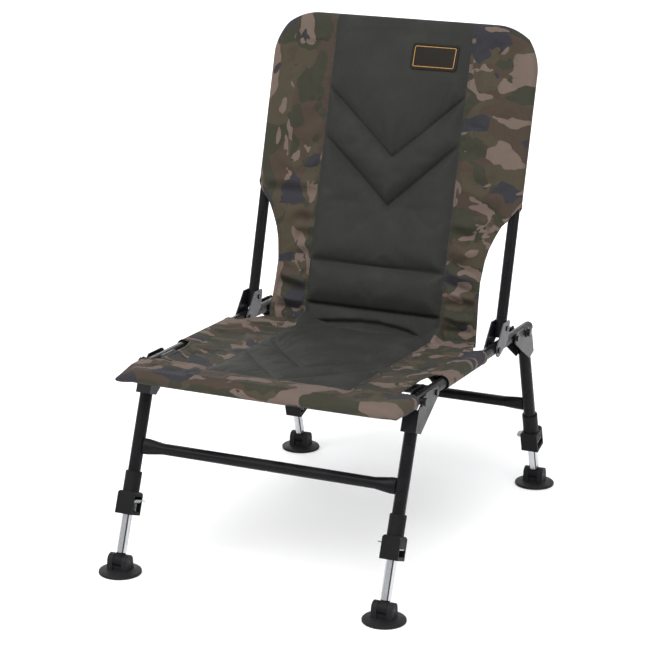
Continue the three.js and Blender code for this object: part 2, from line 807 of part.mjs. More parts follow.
// Places across one row, as { x, pad, seam, side }
function columns(halfWidth) {
  const half = panelShares.map((share, i) => ({ x: share * panelHalf, pad: padShares[i], side: share }));
  half.push({ x: panelHalf, pad: 0, side: 1, seam: true });
  for (const share of stripShares) {
    half.push({ x: THREE.MathUtils.lerp(panelHalf, halfWidth, share), pad: 0, side: 1 });
  }
  const left = half.slice(1).reverse().map((column) => ({ ...column, x: -column.x }));
  return [...left, ...half];
}

// Thickness at a place: a share of the padding's crown, or a sewn line
function clothThickness(column, padding) {
  if (column.seam) return cloth.seam;
  if (column.pad === 0) return cloth.strip;
  return THREE.MathUtils.lerp(cloth.seam, cloth.pad, column.pad * padding);
}

// A closed slab from rows of places, each with its half thickness along a normal
function slab(rows, normal) {
  const across = rows[0].length;
  const positions = [];
  const faces = [];
  for (const face of [1, -1]) {
    for (const { at, half } of rows.flat()) {
      const p = at.clone().addScaledVector(normal, face * half);
      positions.push(p.x, p.y, p.z);
    }
  }
  const under = rows.length * across;
  const quad = (a, b, c, d) => faces.push(a, b, c, a, c, d);
  for (let i = 0; i + 1 < rows.length; i++) {
    for (let j = 0; j + 1 < across; j++) {
      const a = i * across + j;
      quad(a, a + 1, a + across + 1, a + across);
      quad(under + a, under + a + across, under + a + across + 1, under + a + 1);
    }
    const left = i * across;
    const right = left + across - 1;
    quad(left, left + across, under + left + across, under + left);
    quad(right + across, right, under + right, under + right + across);
  }
  const last = (rows.length - 1) * across;
  for (let j = 0; j + 1 < across; j++) {
    quad(j + 1, j, under + j, under + j + 1);
    quad(last + j, last + j + 1, under + last + j + 1, under + last + j);
  }
  const g = new THREE.BufferGeometry();
  g.setAttribute('position', new THREE.BufferAttribute(new Float32Array(positions), 3));
  g.setIndex(faces);
  return outwardSolid(g);
}

const seatCloth = {
  frontBand: 88, // front tube to the padded panel
  sleeveShort: 42, // the sleeve ends this far ahead of the back pivot
  seamWidth: 6,
  rearInset: 39, // the rear edge inside the rail
  sag: 15,
  rearSag: 8,
  edgeLift: 7, // the cloth leaves the tubes near their tops
};
seatCloth.sleeveEnd = backPivotReach - seatCloth.sleeveShort;

const backCloth = {
  low: 2, // lower edge above the pivot's level
  sag: 13,
  lowSag: 5,
};

// The back cover's front face at its lower edge, along the rail, less the crease
seatCloth.rearReach = backPivotReach + backOffset * Math.cos(backAngle) + backCloth.low * Math.sin(backAngle)
  - cloth.strip / 2 - cloth.creaseGap;

// Sewn lines and crowns of the seat: shares of the panel's length in the middle and at its sides,
// and the share of the padding there
const seatRowShares = [
  [0.02, 0.02, 0.7],
  [0.035, 0.39, 0.1],
  [0.12, 0.48, 1],
  [0.225, 0.58, 0.25],
  [0.42, 0.7, 1],
];

function seatClothHalfAt(y) {
  const share = (y - seatCloth.sleeveEnd) / (seatCloth.rearReach - seatCloth.sleeveEnd);
  if (share <= 0) return seatHalfWidthAt(y);
  const widest = railHalfSpacing - hinge.outer - endClearance; // inside the folded hinges
  return THREE.MathUtils.lerp(widest, railHalfSpacing - seatCloth.rearInset, Math.sqrt(Math.min(share, 1)));
}

function seatPanelRows() {
  const front = -seatFrontReach;
  const padFront = front + seatCloth.frontBand;
  const length = seatCloth.rearReach - padFront;
  const rows = [
    { middle: front, edge: front, bow: 1, padding: 0 },
    { middle: front + frameTube.radius * 2, edge: front + frameTube.radius * 2, bow: 0.8, padding: 0 },
    { middle: front + seatBend.radius, edge: front + seatBend.radius, bow: 0.4, padding: 0 },
    { middle: padFront - seatCloth.seamWidth, edge: padFront - seatCloth.seamWidth, padding: 0, plain: true },
    { middle: padFront, edge: padFront, padding: 0, sewn: true },
  ];
  for (const [middle, edge, padding] of seatRowShares) {
    rows.push({ middle: padFront + length * middle, edge: padFront + length * edge, padding });
  }
  const rearSpan = seatCloth.rearReach - seatCloth.sleeveEnd;
  rows.push({ middle: seatCloth.sleeveEnd - rearSpan / 2, edge: seatCloth.sleeveEnd, padding: 1 });
  rows.push({ middle: seatCloth.sleeveEnd, edge: seatCloth.sleeveEnd + endClearance, padding: 1 });
  rows.push({ middle: seatCloth.sleeveEnd + rearSpan / 2, edge: seatCloth.sleeveEnd + rearSpan / 2, padding: 1 });
  rows.push({ middle: seatCloth.rearReach, edge: seatCloth.rearReach, padding: 0.2 });
  return rows;
}

function seatPanel() {
  const rearShare = 0.2;
  return seatPanelRows().map((row) => columns(seatClothHalfAt(row.edge)).map((column) => {
    const bow = (row.bow ?? 0) * (seatFrontAt(column.x) + seatFrontReach);
    const y = THREE.MathUtils.lerp(row.middle, row.edge, column.side) + bow;
    const across = Math.min(Math.abs(column.x) / railHalfSpacing, 1);
    const along = THREE.MathUtils.clamp((y + seatFrontReach) / (seatFrontReach + seatCloth.rearReach), 0, 1);
    const sinking = Math.sin(Math.min(along / (2 * rearShare), 1) * (Math.PI / 2));
    const nearRear = Math.max(0, 1 - (1 - along) / rearShare);
    const sag = THREE.MathUtils.lerp(seatCloth.sag * sinking, seatCloth.rearSag, nearRear);
    const lift = seatCloth.edgeLift * Math.max(across ** 4, 1 - along / (rearShare / 2));
    const z = lift - sag * (1 - across * across);
    const x = Math.sign(column.x) * Math.min(Math.abs(column.x), seatClothHalfAt(y));
    const thickness = row.sewn ? cloth.seam : clothThickness(row.plain ? { ...column, pad: 0 } : column, row.padding);
    return { at: new THREE.Vector3(x, y, z), half: thickness / 2 };
  }));
}

// Room in the cloth for the front brackets and their bolts
const cutOut = { behindPivot: 52.5, aheadOfBolt: 10, below: 1, lowLength: 14 };
const boltReach = bracket.outer + gap + stopBolt.washerHeight + stopBolt.headHeight;

function seatCover() {
  const sleeve = sweep(seatStations(seatCloth.sleeveEnd), sleeveRadius, sleeveSides);
  const bore = sweep(stretched(seatStations(railRearReach), overrun), sleeveBore, sleeveSides);
  const inner = railHalfSpacing - boltReach - overrun;
  const outer = railHalfSpacing + boltReach + overrun;
  const deep = sleeveRadius + seatCloth.sag;
  const front = -frontLeg.reach - frontLeg.stopReach - cutOut.aheadOfBolt;
  const tools = sides.flatMap(([, side]) => [
    box(side * inner, side * outer, front, cutOut.behindPivot - frontLeg.reach, -deep, deep),
    box(side * inner, side * outer, front - cutOut.lowLength, front + overrun, -deep, -cutOut.below),
  ]);
  return cut(join(sleeve, slab(seatPanel(), new THREE.Vector3(0, 0, 1))), bore, ...tools);
}

// Rows up the back: shares of its height in the middle and at the panel's sides, share of padding
const backRowShares = [
  [1, 1, 0],
  [0.965, 0.965, 0],
  [0.93, 0.94, 0.6],
  [0.75, 0.87, 1],
  [0.571, 0.781, 0.15],
  [0.493, 0.706, 1],
  [0.414, 0.628, 0.15],
  [0.31, 0.46, 1],
  [0.255, 0.3, 1],
  [0.218, 0.218, 0.1],
  [0.15, 0.15, 1],
  [0.083, 0.083, 0.1],
  [0.004, 0.004, 0.1],
];

// Half width of the waist: shares of the back's height, then of the half spacing of the tubes
const waistShares = [
  [0.004, 0.838], [0.07, 0.824], [0.133, 0.815], [0.2, 0.811], [0.27, 0.829],
  [0.31, 0.851], [0.35, 0.887], [0.39, 0.932], [0.422, 1],
];
const backSleeveShare = 0.422; // the back sleeves end at this share of the height

function backClothHalfAt(z) {
  const share = z / backHeight;
  if (share >= backSleeveShare) return backHalfWidthAt(z);
  const next = Math.max(1, waistShares.findIndex(([at]) => at >= share));
  const [[from, narrow], [to, wide]] = [waistShares[next - 1], waistShares[next]];
  const way = THREE.MathUtils.clamp((share - from) / (to - from), 0, 1);
  return railHalfSpacing * THREE.MathUtils.lerp(narrow, wide, way);
}

function backPanel() {
  const topShare = 0.3;
  return backRowShares.map(([middle, edge, padding]) => (
    columns(backClothHalfAt(edge * backHeight)).map((column) => {
      const up = THREE.MathUtils.lerp(middle, edge, column.side);
      const across = Math.min(Math.abs(column.x) / railHalfSpacing, 1);
      const hanging = Math.sin(Math.min((1 - up) / topShare, 1) * (Math.PI / 2));
      const sag = THREE.MathUtils.lerp(backCloth.lowSag, backCloth.sag, Math.min(up / topShare, 1));
      const y = backOffset + sag * hanging * (1 - across * across);
      const at = new THREE.Vector3(column.x, y, Math.max(up * backHeight, backCloth.low));
      return { at, half: clothThickness(column, padding) / 2 };
    })
  ));
}

function backCover() {
  const sleeve = sweep(backStations(backSleeveShare * backHeight), sleeveRadius, sleeveSides);
  const bore = sweep(stretched(backStations(backTubeEnd), overrun), sleeveBore, sleeveSides);
  return join(sleeve, slab(backPanel(), new THREE.Vector3(0, -1, 0))).subtract(bore);
}

// Assembly

const chair = new THREE.Group();

const rails = new THREE.Group();
rails.rotation.x = -railTilt * DEG;
rails.position.set(0, (footReach(frontLeg) - footReach(rearLeg)) / 2, railHeight);
chair.add(rails);

addMesh(rails, 'seat_frame', seatFrame(), finish.frame);
addMesh(rails, 'seat_cover', seatCover(), finish.cloth);
for (const [name, side] of sides) {
  addMesh(rails, `rail_end_cap_${name}`, railEndCap(side), finish.bracket);
}

function groupAt(parent, x, y, z, turn = 0) {
  const group = new THREE.Group();
  group.position.set(x, y, z);
  group.rotation.x = turn;
  parent.add(group);
  return group;
}

for (const leg of [frontLeg, rearLeg]) {
  const turn = (leg.facing * leg.splay + railTilt) * DEG;
  const pair = groupAt(rails, 0, leg.facing * leg.reach, 0, turn);
  addMesh(pair, `${leg.name}_cross_tube`, crossTubeSolid(leg), finish.frame);

  for (const [name, side] of sides) {
    const label = `${leg.name}_${name}`;
    const x = side * railHalfSpacing;
    const plane = groupAt(pair, x, 0, 0);
    addMesh(plane, `${label}_leg_tube`, legTubeSolid(leg), finish.frame);
    addMesh(plane, `${label}_leg_bracket`, legBracket(leg), finish.bracket);
    addMesh(plane, `${label}_lock_housing`, lockHousing(leg, side), finish.plastic);
    addMesh(plane, `${label}_lock_plate`, lockPlateSolid(leg, side), finish.zinc);
    addMesh(plane, `${label}_lock_spring`, lockSpringSolid(leg, side), finish.zinc);
    addMesh(plane, `${label}_inner_leg`, innerLegSolid(leg), finish.aluminium);
    addMesh(plane, `${label}_knuckle`, knuckleSolid(leg), finish.plastic);

    const ankle = groupAt(plane, 0, leg.facing * leg.offset, -ankleDown(leg), -leg.facing * leg.splay * DEG);
    const pin = cylinderX(anklePin.radius, -foot.earOuter, foot.earOuter, 0, 0, anklePin.sides);
    addMesh(ankle, `${label}_ankle_pin`, pin, finish.zinc);
    addMesh(ankle, `${label}_mud_foot`, mudFoot(), finish.foot);

    const pivot = groupAt(rails, x, leg.facing * leg.reach, 0);
    const stop = groupAt(rails, x, leg.facing * (leg.reach + leg.stopReach), 0);
    addMesh(pivot, `${label}_pivot_bolt`, headedPin(pivotBolt, bracket.outer + gap, 0, 0), finish.bolt);
    addMesh(stop, `${label}_stop_bolt`, washeredBolt(stopBolt, bracket.outer + gap), finish.bolt);
  }
}

const back = groupAt(rails, 0, backPivotReach, 0, -backAngle);
addMesh(back, 'back_frame', backFrame(), finish.frame);
addMesh(back, 'back_cover', backCover(), finish.cloth);
for (const [name, side] of sides) {
  const plane = groupAt(back, side * railHalfSpacing, 0, 0);
  const reach = hinge.outer + gap;
  addMesh(plane, `back_hinge_${name}`, backHinge(), finish.bracket);
  addMesh(plane, `back_pivot_bolt_${name}`, headedPin(pivotBolt, reach, 0, 0), finish.bolt);
  addMesh(plane, `back_rivet_${name}`, headedPin(rivet, reach, backOffset, hinge.rivetUp), finish.bolt);
}

console.log(`least gap between spring turns ${springLeastGap().toFixed(2)} mm`);

export default chair;
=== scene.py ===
import bpy
import math
import numpy as np
from mathutils import Matrix, Vector
from mathutils.bvhtree import BVHTree


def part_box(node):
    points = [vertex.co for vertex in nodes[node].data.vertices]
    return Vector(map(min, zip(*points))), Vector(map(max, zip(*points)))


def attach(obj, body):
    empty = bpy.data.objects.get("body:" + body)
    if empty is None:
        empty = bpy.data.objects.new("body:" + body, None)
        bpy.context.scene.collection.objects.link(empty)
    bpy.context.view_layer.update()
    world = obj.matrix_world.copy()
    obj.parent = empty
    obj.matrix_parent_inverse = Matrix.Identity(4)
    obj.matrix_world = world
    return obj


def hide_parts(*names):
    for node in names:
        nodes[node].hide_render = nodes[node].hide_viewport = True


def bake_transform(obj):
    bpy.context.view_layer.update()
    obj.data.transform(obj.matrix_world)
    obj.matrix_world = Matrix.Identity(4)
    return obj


# Folding angler's chair: cloth covers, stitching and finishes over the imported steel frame
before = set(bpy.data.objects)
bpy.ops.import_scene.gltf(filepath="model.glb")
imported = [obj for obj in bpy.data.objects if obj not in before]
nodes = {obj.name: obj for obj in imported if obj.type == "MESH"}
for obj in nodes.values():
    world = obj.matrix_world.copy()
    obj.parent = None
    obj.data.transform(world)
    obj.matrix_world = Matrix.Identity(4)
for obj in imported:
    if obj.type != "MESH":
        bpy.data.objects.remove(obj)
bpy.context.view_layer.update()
mm = 0.001
print("frame loaded with", len(nodes), "nodes")

cameraSet = {
    "place": (1.4476, -3.265, 1.358),
    "azimuth": 24.30,
    "elevation": 15.89,
    "roll": 0.44,
    "lens": 128.8,
    "sensor": 36,
    "clipEnd": 30,
}


def addObject(name, data):
    made = bpy.data.objects.new(name, data)
    bpy.context.scene.collection.objects.link(made)
    return made


def makeCamera(s):
    azimuth, elevation, roll = (math.radians(s[k]) for k in ("azimuth", "elevation", "roll"))
    back = Vector((math.sin(azimuth) * math.cos(elevation),
                   -math.cos(azimuth) * math.cos(elevation), math.sin(elevation)))
    right = Vector((math.cos(azimuth), math.sin(azimuth), 0))
    up = back.cross(right)
    x = right * math.cos(roll) + up * math.sin(roll)
    y = up * math.cos(roll) - right * math.sin(roll)
    data = bpy.data.cameras.new("studioCamera")
    data.lens = s["lens"]
    data.sensor_width = s["sensor"]
    data.clip_end = s["clipEnd"]
    camera = addObject("studioCamera", data)
    turn = Matrix((x, y, back)).transposed().to_4x4()
    camera.matrix_world = Matrix.Translation(s["place"]) @ turn
    bpy.context.scene.camera = camera


makeCamera(cameraSet)


# Meshes
def newMesh(name, points, faces):
    mesh = bpy.data.meshes.new(name)
    mesh.from_pydata([tuple(p) for p in points], [], faces)
    mesh.polygons.foreach_set("use_smooth", [True] * len(mesh.polygons))
    mesh.update()
    return addObject(name, mesh)


def gridFaces(n, m):  # n rows of m points
    return [[i * m + j, i * m + j + 1, (i + 1) * m + j + 1, (i + 1) * m + j]
            for i in range(n - 1) for j in range(m - 1)]


def tubeFaces(rings, sides, start=0, closed=True):  # the ends are closed unless told otherwise
    faces = []
    for i in range(rings - 1):
        for k in range(sides):
            a, b = start + i * sides + k, start + i * sides + (k + 1) % sides
            faces.append([a, b, b + sides, a + sides])
    if closed:
        faces.append([start + k for k in reversed(range(sides))])
        faces.append([start + (rings - 1) * sides + k for k in range(sides)])
    return faces


def layPlan(made, plan):  # one flat place on the cloth for each point
    layer = made.data.uv_layers.new(name="clothPlan")
    for loop in made.data.loops:
        layer.data[loop.index].uv = plan[loop.vertex_index]


def srgb(*channels):
    return (*(((c / 255 + 0.055) / 1.055) ** 2.4 if c > 10 else c / 255 / 12.92 for c in channels), 1)


# Shader helpers: a value is a number, a colour or the socket of another node
def put(tree, kind, values=None, **settings):
    made = tree.nodes.new(kind)
    for key, value in settings.items():
        setattr(made, key, value)
    for key, value in (values or {}).items():
        if isinstance(value, bpy.types.NodeSocket):
            tree.links.new(value, made.inputs[key])
        else:
            made.inputs[key].default_value = value
    return made


def maths(tree, operation, a, b=0.5, clamp=False):
    return put(tree, "ShaderNodeMath", {0: a, 1: b}, operation=operation, use_clamp=clamp).outputs[0]


def times(tree, a, b, clamp=False):
    return maths(tree, "MULTIPLY", a, b, clamp)


def plus(tree, a, b, clamp=False):
    return maths(tree, "ADD", a, b, clamp)


def scaled(tree, vector, factor):
    return put(tree, "ShaderNodeVectorMath", {0: vector, "Scale": factor}, operation="SCALE").outputs[0]


def stretched(tree, vector, scale):
    return put(tree, "ShaderNodeMapping", {0: vector, "Scale": scale}).outputs[0]


def noised(tree, vector, scale, detail, **more):
    values = {"Vector": vector, "Scale": scale, "Detail": detail, **more}
    return put(tree, "ShaderNodeTexNoise", values).outputs


def ranged(tree, value, low, high, toLow=0.0, toHigh=1.0):
    return put(tree, "ShaderNodeMapRange", {0: value, 1: low, 2: high, 3: toLow, 4: toHigh},
               interpolation_type="SMOOTHSTEP").outputs[0]


def mixed(tree, share, a, b):
    return put(tree, "ShaderNodeMix", {0: share, 6: a, 7: b}, data_type="RGBA").outputs[2]


def tinted(tree, mask, share, colour, amount, tint):  # part of the way to a tint, where the mask says
    return mixed(tree, times(tree, mask, share), colour, mixed(tree, amount, colour, tint))


def newGroup(name, inputs, outputs):
    tree = bpy.data.node_groups.new(name, "ShaderNodeTree")
    kinds = {"f": "NodeSocketFloat", "v": "NodeSocketVector", "c": "NodeSocketColor"}
    for label, kind, value in inputs:
        socket = tree.interface.new_socket(label, in_out="INPUT", socket_type=kinds[kind])
        if value is not None:
            socket.default_value = value
    for label, kind in outputs:
        tree.interface.new_socket(label, in_out="OUTPUT", socket_type=kinds[kind])
    return tree, tree.nodes.new("NodeGroupInput").outputs, tree.nodes.new("NodeGroupOutput").inputs


def placeGroup(tree, group, values):
    return put(tree, "ShaderNodeGroup", values, node_tree=group).outputs


# Effects that the materials share
effectSet = {
    "threadRound": 0.5,
    "slubStretch": (900, 60, 1),
    "wearNoise": 260.0,
    "wearBreaks": (0.38, 0.62),
    "dustFacing": (0.1, 1.0),
    "dustClouds": (0.4, 0.75),
    "grime": (0.3, 0.7),
    "fineShare": 0.6,
    "coarseShare": 0.4,
}


def weaveGroup(s):
    tree, given, out = newGroup("plainWeave", [("Vector", "v", None), ("Threads", "f", 1500.0)],
                                [("Height", "f"), ("Slub", "f")])
    grown = scaled(tree, given["Vector"], given["Threads"])
    place = put(tree, "ShaderNodeSeparateXYZ", {0: grown}).outputs
    over = put(tree, "ShaderNodeTexChecker", {0: grown, 3: 1.0}).outputs[1]
    heights = []
    for along, above in ((place[0], over), (place[1], maths(tree, "SUBTRACT", 1.0, over))):
        wave = maths(tree, "ABSOLUTE", maths(tree, "SINE", times(tree, along, math.pi)))
        lift = plus(tree, times(tree, above, s["threadRound"]), 1 - s["threadRound"])
        heights.append(times(tree, wave, lift))
    tree.links.new(maths(tree, "MAXIMUM", *heights), out["Height"])
    slub = noised(tree, stretched(tree, given["Vector"], s["slubStretch"]), 1.0, 3.0)[0]
    tree.links.new(slub, out["Slub"])
    return tree


def wearGroup(s):
    tree, given, out = newGroup("edgeWear", [("Vector", "v", None), ("Low", "f", 0.52), ("High", "f", 0.6)],
                                [("Mask", "f")])
    raised = put(tree, "ShaderNodeNewGeometry").outputs["Pointiness"]
    edge = ranged(tree, raised, given["Low"], given["High"])
    broken = ranged(tree, noised(tree, given["Vector"], s["wearNoise"], 4.0)[0], *s["wearBreaks"])
    tree.links.new(times(tree, edge, broken, True), out["Mask"])
    return tree


def dustGroup(s):
    tree, given, out = newGroup("settledDust", [("Vector", "v", None), ("Scale", "f", 14.0)],
                                [("Mask", "f"), ("Grime", "f")])
    facing = put(tree, "ShaderNodeNewGeometry").outputs["Normal"]
    up = put(tree, "ShaderNodeSeparateXYZ", {0: facing}).outputs[2]
    cloud = noised(tree, given["Vector"], given["Scale"], 6.0)[0]
    lying = times(tree, ranged(tree, up, *s["dustFacing"]), ranged(tree, cloud, *s["dustClouds"]))
    tree.links.new(lying, out["Mask"])
    tree.links.new(ranged(tree, cloud, *s["grime"]), out["Grime"])
    return tree


def grainGroup(s):
    tree, given, out = newGroup("surfaceGrain", [("Vector", "v", None), ("Fine", "f", 900.0),
                                                 ("Coarse", "f", 90.0)], [("Height", "f"), ("Tone", "f")])
    fine = noised(tree, given["Vector"], given["Fine"], 2.0)[0]
    coarse = noised(tree, given["Vector"], given["Coarse"], 3.0)[0]
    height = plus(tree, times(tree, fine, s["fineShare"]), times(tree, coarse, s["coarseShare"]))
    tree.links.new(height, out["Height"])
    tree.links.new(coarse, out["Tone"])
    return tree


# Camouflage: patches of cloud laid one over the other on the first colour
camoSet = {
    "colours": {"Khaki": srgb(68, 61, 49), "Leaf": srgb(53, 53, 43), "Earth": srgb(66, 56, 48),
                "Tan": srgb(103, 89, 81), "Slate": srgb(48, 47, 52)},
    "ragged": 48.0,
    "nudge": 0.013,
    "edge": 0.006,
    "detail": 0.7,
    "roughness": 0.38,
    "long": (0.5, 1.2, 1.0),
    "short": (0.72, 1.0, 1.0),
    "patches": [  # colour, stretch, offset, scale, threshold, distortion
        ("Leaf", "short", (3.1, 0.4, 0), 17, 0.5, 0.9),
        ("Earth", "long", (6.2, 3.3, 0), 15, 0.58, 1.1),
        ("Tan", "long", (1.7, 7.1, 0), 17, 0.54, 1.3),
        ("Leaf", "short", (0.2, 5.3, 0), 20, 0.63, 1.0),
        ("Slate", "short", (5.9, 6.1, 0), 15, 0.625, 1.2),
        ("Tan", "long", (5.5, 2.2, 0), 19, 0.675, 1.1),
    ],
}


def camoGroup(s):
    inputs = [("Vector", "v", None), ("Size", "f", 1.0)] + [(n, "c", c) for n, c in s["colours"].items()]
    tree, given, out = newGroup("leafCamouflage", inputs, [("Color", "c")])
    base = scaled(tree, given["Vector"], given["Size"])
    ragged = noised(tree, base, s["ragged"], 1.0)[1]
    nudge = put(tree, "ShaderNodeVectorMath", {0: ragged, 1: (0.5, 0.5, 0.5)},
                operation="SUBTRACT").outputs[0]
    moved = put(tree, "ShaderNodeVectorMath", {0: base, 1: scaled(tree, nudge, s["nudge"])},
                operation="ADD").outputs[0]
    vectors = {way: stretched(tree, moved, s[way]) for way in ("long", "short")}
    colour = given["Khaki"]
    for name, way, offset, scale, low, distortion in s["patches"]:
        place = put(tree, "ShaderNodeMapping", {0: vectors[way], "Location": offset}).outputs[0]
        cloud = noised(tree, place, scale, s["detail"], Roughness=s["roughness"], Distortion=distortion)[0]
        colour = mixed(tree, ranged(tree, cloud, low, low + s["edge"]), colour, given[name])
    tree.links.new(colour, out["Color"])
    return tree


plainWeave = weaveGroup(effectSet)
leafCamouflage = camoGroup(camoSet)
edgeWear = wearGroup(effectSet)
settledDust = dustGroup(effectSet)
surfaceGrain = grainGroup(effectSet)


def newMaterial(name, values):
    made = bpy.data.materials.new(name)
    made.use_nodes = True
    tree = made.node_tree
    shader = tree.nodes["Principled BSDF"]
    for key, value in values.items():
        shader.inputs[key].default_value = value
    return made, tree, shader


def bumped(tree, shader, height, strength, distance):
    bump = put(tree, "ShaderNodeBump", {"Strength": strength, "Distance": distance, "Height": height})
    tree.links.new(bump.outputs[0], shader.inputs["Normal"])


clothSet = {
    "camo": {"size": 0.84, "threads": 1250.0, "bump": 0.3, "rough": 0.82, "sheen": 0.03},
    "panel": {"colour": srgb(46, 46, 43), "dark": srgb(43, 44, 41), "threads": 1700.0, "bump": 0.22,
              "rough": 0.7, "sheen": 0.02},
    "lining": {"colour": srgb(34, 34, 33), "dark": srgb(27, 27, 26), "threads": 1100.0, "bump": 0.4,
               "rough": 0.8, "sheen": 0.05},
    "every": {"sheenRough": 0.45, "spec": 0.1, "dustScale": 16.0, "slubs": (0.3, 0.7), "slubShade": 0.16,
              "shade": 0.5, "threadHighlight": 0.16, "light": 0.05, "highlightTint": (0.8, 0.8, 0.78, 1),
              "dust": 0.02, "dustTint": (0.4, 0.38, 0.34, 1), "roughSlubs": (0.2, 0.8),
              "smoother": 0.06, "rougher": 0.08, "depth": 0.0003},
}
black = (0, 0, 0, 1)


def clothMaterial(name, kind):
    s, every = clothSet[kind], clothSet["every"]
    made, tree, shader = newMaterial(name, {
        "Sheen Weight": s["sheen"], "Sheen Roughness": every["sheenRough"], "Specular IOR Level": every["spec"]})
    uv = put(tree, "ShaderNodeUVMap", uv_map="clothPlan").outputs[0]
    weave = placeGroup(tree, plainWeave, {"Vector": uv, "Threads": s["threads"]})
    dust = placeGroup(tree, settledDust, {"Vector": uv, "Scale": every["dustScale"]})
    if kind == "camo":
        colour = placeGroup(tree, leafCamouflage, {"Vector": uv, "Size": s["size"]})["Color"]
    else:
        colour = mixed(tree, dust["Grime"], s["dark"], s["colour"])
    slubs = ranged(tree, weave["Slub"], *every["slubs"])
    threaded = tinted(tree, slubs, every["slubShade"], colour, every["shade"], black)
    # painted highlight: the raised threads of the weave are drawn lighter, as if lit from above
    lit = tinted(tree, weave["Height"], every["threadHighlight"], threaded, every["light"], every["highlightTint"])
    dusty = mixed(tree, times(tree, dust["Mask"], every["dust"]), lit, every["dustTint"])
    tree.links.new(dusty, shader.inputs["Base Color"])
    rough = ranged(tree, weave["Slub"], *every["roughSlubs"], s["rough"] - every["smoother"],
                   s["rough"] + every["rougher"])
    tree.links.new(rough, shader.inputs["Roughness"])
    bumped(tree, shader, weave["Height"], s["bump"], every["depth"])
    return made


camoCloth = clothMaterial("camouflageCloth", "camo")
panelCloth = clothMaterial("panelCloth", "panel")
liningCloth = clothMaterial("liningCloth", "lining")

metalSet = {
    "frame_paint": {"colour": srgb(17, 17, 19), "worn": srgb(58, 58, 60), "rough": 0.26, "metallic": 0.0,
                    "coat": 0.02, "spec": 0.1, "grain": 1500.0, "bump": 0.06},
    "bracket_paint": {"colour": srgb(24, 24, 27), "worn": srgb(92, 92, 98), "rough": 0.32, "metallic": 0.1,
                      "coat": 0.08, "spec": 0.2, "grain": 1100.0, "bump": 0.1},
    "hinge_steel": {"colour": srgb(56, 55, 61), "worn": srgb(108, 106, 114), "rough": 0.3, "metallic": 0.6,
                    "coat": 0.1, "spec": 0.3, "grain": 900.0, "bump": 0.12},
    "bolt_black": {"colour": srgb(24, 24, 26), "worn": srgb(90, 90, 94), "rough": 0.34, "metallic": 0.4,
                   "coat": 0.1, "spec": 0.3, "grain": 700.0, "bump": 0.15},
    "zinc_plate": {"colour": srgb(168, 170, 172), "worn": srgb(200, 202, 205), "rough": 0.3, "metallic": 0.95,
                   "coat": 0.0, "spec": 0.5, "grain": 500.0, "bump": 0.15},
    "moulded_plastic": {"colour": srgb(19, 19, 20), "worn": srgb(48, 48, 50), "rough": 0.5, "metallic": 0.0,
                        "coat": 0.0, "spec": 0.1, "grain": 1900.0, "bump": 0.3},
    "foot_plastic": {"colour": srgb(26, 26, 28), "worn": srgb(58, 58, 58), "rough": 0.55, "metallic": 0.0,
                     "coat": 0.0, "spec": 0.14, "grain": 1600.0, "bump": 0.35},
}

hardEvery = {"coatRough": 0.22, "coarse": 70.0, "wearLow": 0.62, "wearHigh": 0.74, "dustScale": 24.0,
             "tone": 0.12, "toneTint": (0.5, 0.5, 0.5, 1), "tint": 0.05, "wear": 0.7, "dust": 0.025,
             "dustTint": (0.35, 0.34, 0.32, 1), "smoother": 0.05, "rougher": 0.1, "bareMetal": 0.5,
             "depth": 0.0002}


def hardMaterial(name, s):
    every = hardEvery
    made, tree, shader = newMaterial(name, {"Coat Weight": s["coat"], "Coat Roughness": every["coatRough"],
                                            "Specular IOR Level": s["spec"]})
    where = put(tree, "ShaderNodeTexCoord").outputs["Object"]
    grain = placeGroup(tree, surfaceGrain, {"Vector": where, "Fine": s["grain"], "Coarse": every["coarse"]})
    wear = placeGroup(tree, edgeWear, {"Vector": where, "Low": every["wearLow"], "High": every["wearHigh"]})
    dust = placeGroup(tree, settledDust, {"Vector": where, "Scale": every["dustScale"]})
    toned = tinted(tree, grain["Tone"], every["tone"], s["colour"], every["tint"], every["toneTint"])
    worn = mixed(tree, times(tree, wear["Mask"], every["wear"]), toned, s["worn"])
    dusty = mixed(tree, times(tree, dust["Mask"], every["dust"]), worn, every["dustTint"])
    tree.links.new(dusty, shader.inputs["Base Color"])
    rough = ranged(tree, dust["Grime"], 0.0, 1.0, s["rough"] - every["smoother"],
                   s["rough"] + every["rougher"])
    tree.links.new(rough, shader.inputs["Roughness"])
    if s["metallic"] > 0:
        bare = plus(tree, times(tree, wear["Mask"], every["bareMetal"]), s["metallic"], True)
        tree.links.new(bare, shader.inputs["Metallic"])
    bumped(tree, shader, grain["Height"], s["bump"], every["depth"])
    return made


# The groove colour is painted shade: a dark line along the shallow groove of each inner leg
drawnSet = {"grooveAt": 5.1, "grooveFrom": 0.4, "grooveTo": 1.3, "grooveShade": srgb(58, 58, 61),
            "dull": srgb(176, 177, 180), "bright": srgb(224, 225, 228), "streaks": (900, 900, 14),
            "dustScale": 30.0, "rough": 0.1, "streakRough": 0.16, "grimeRough": 0.08, "bump": 0.15,
            "depth": 0.0001}


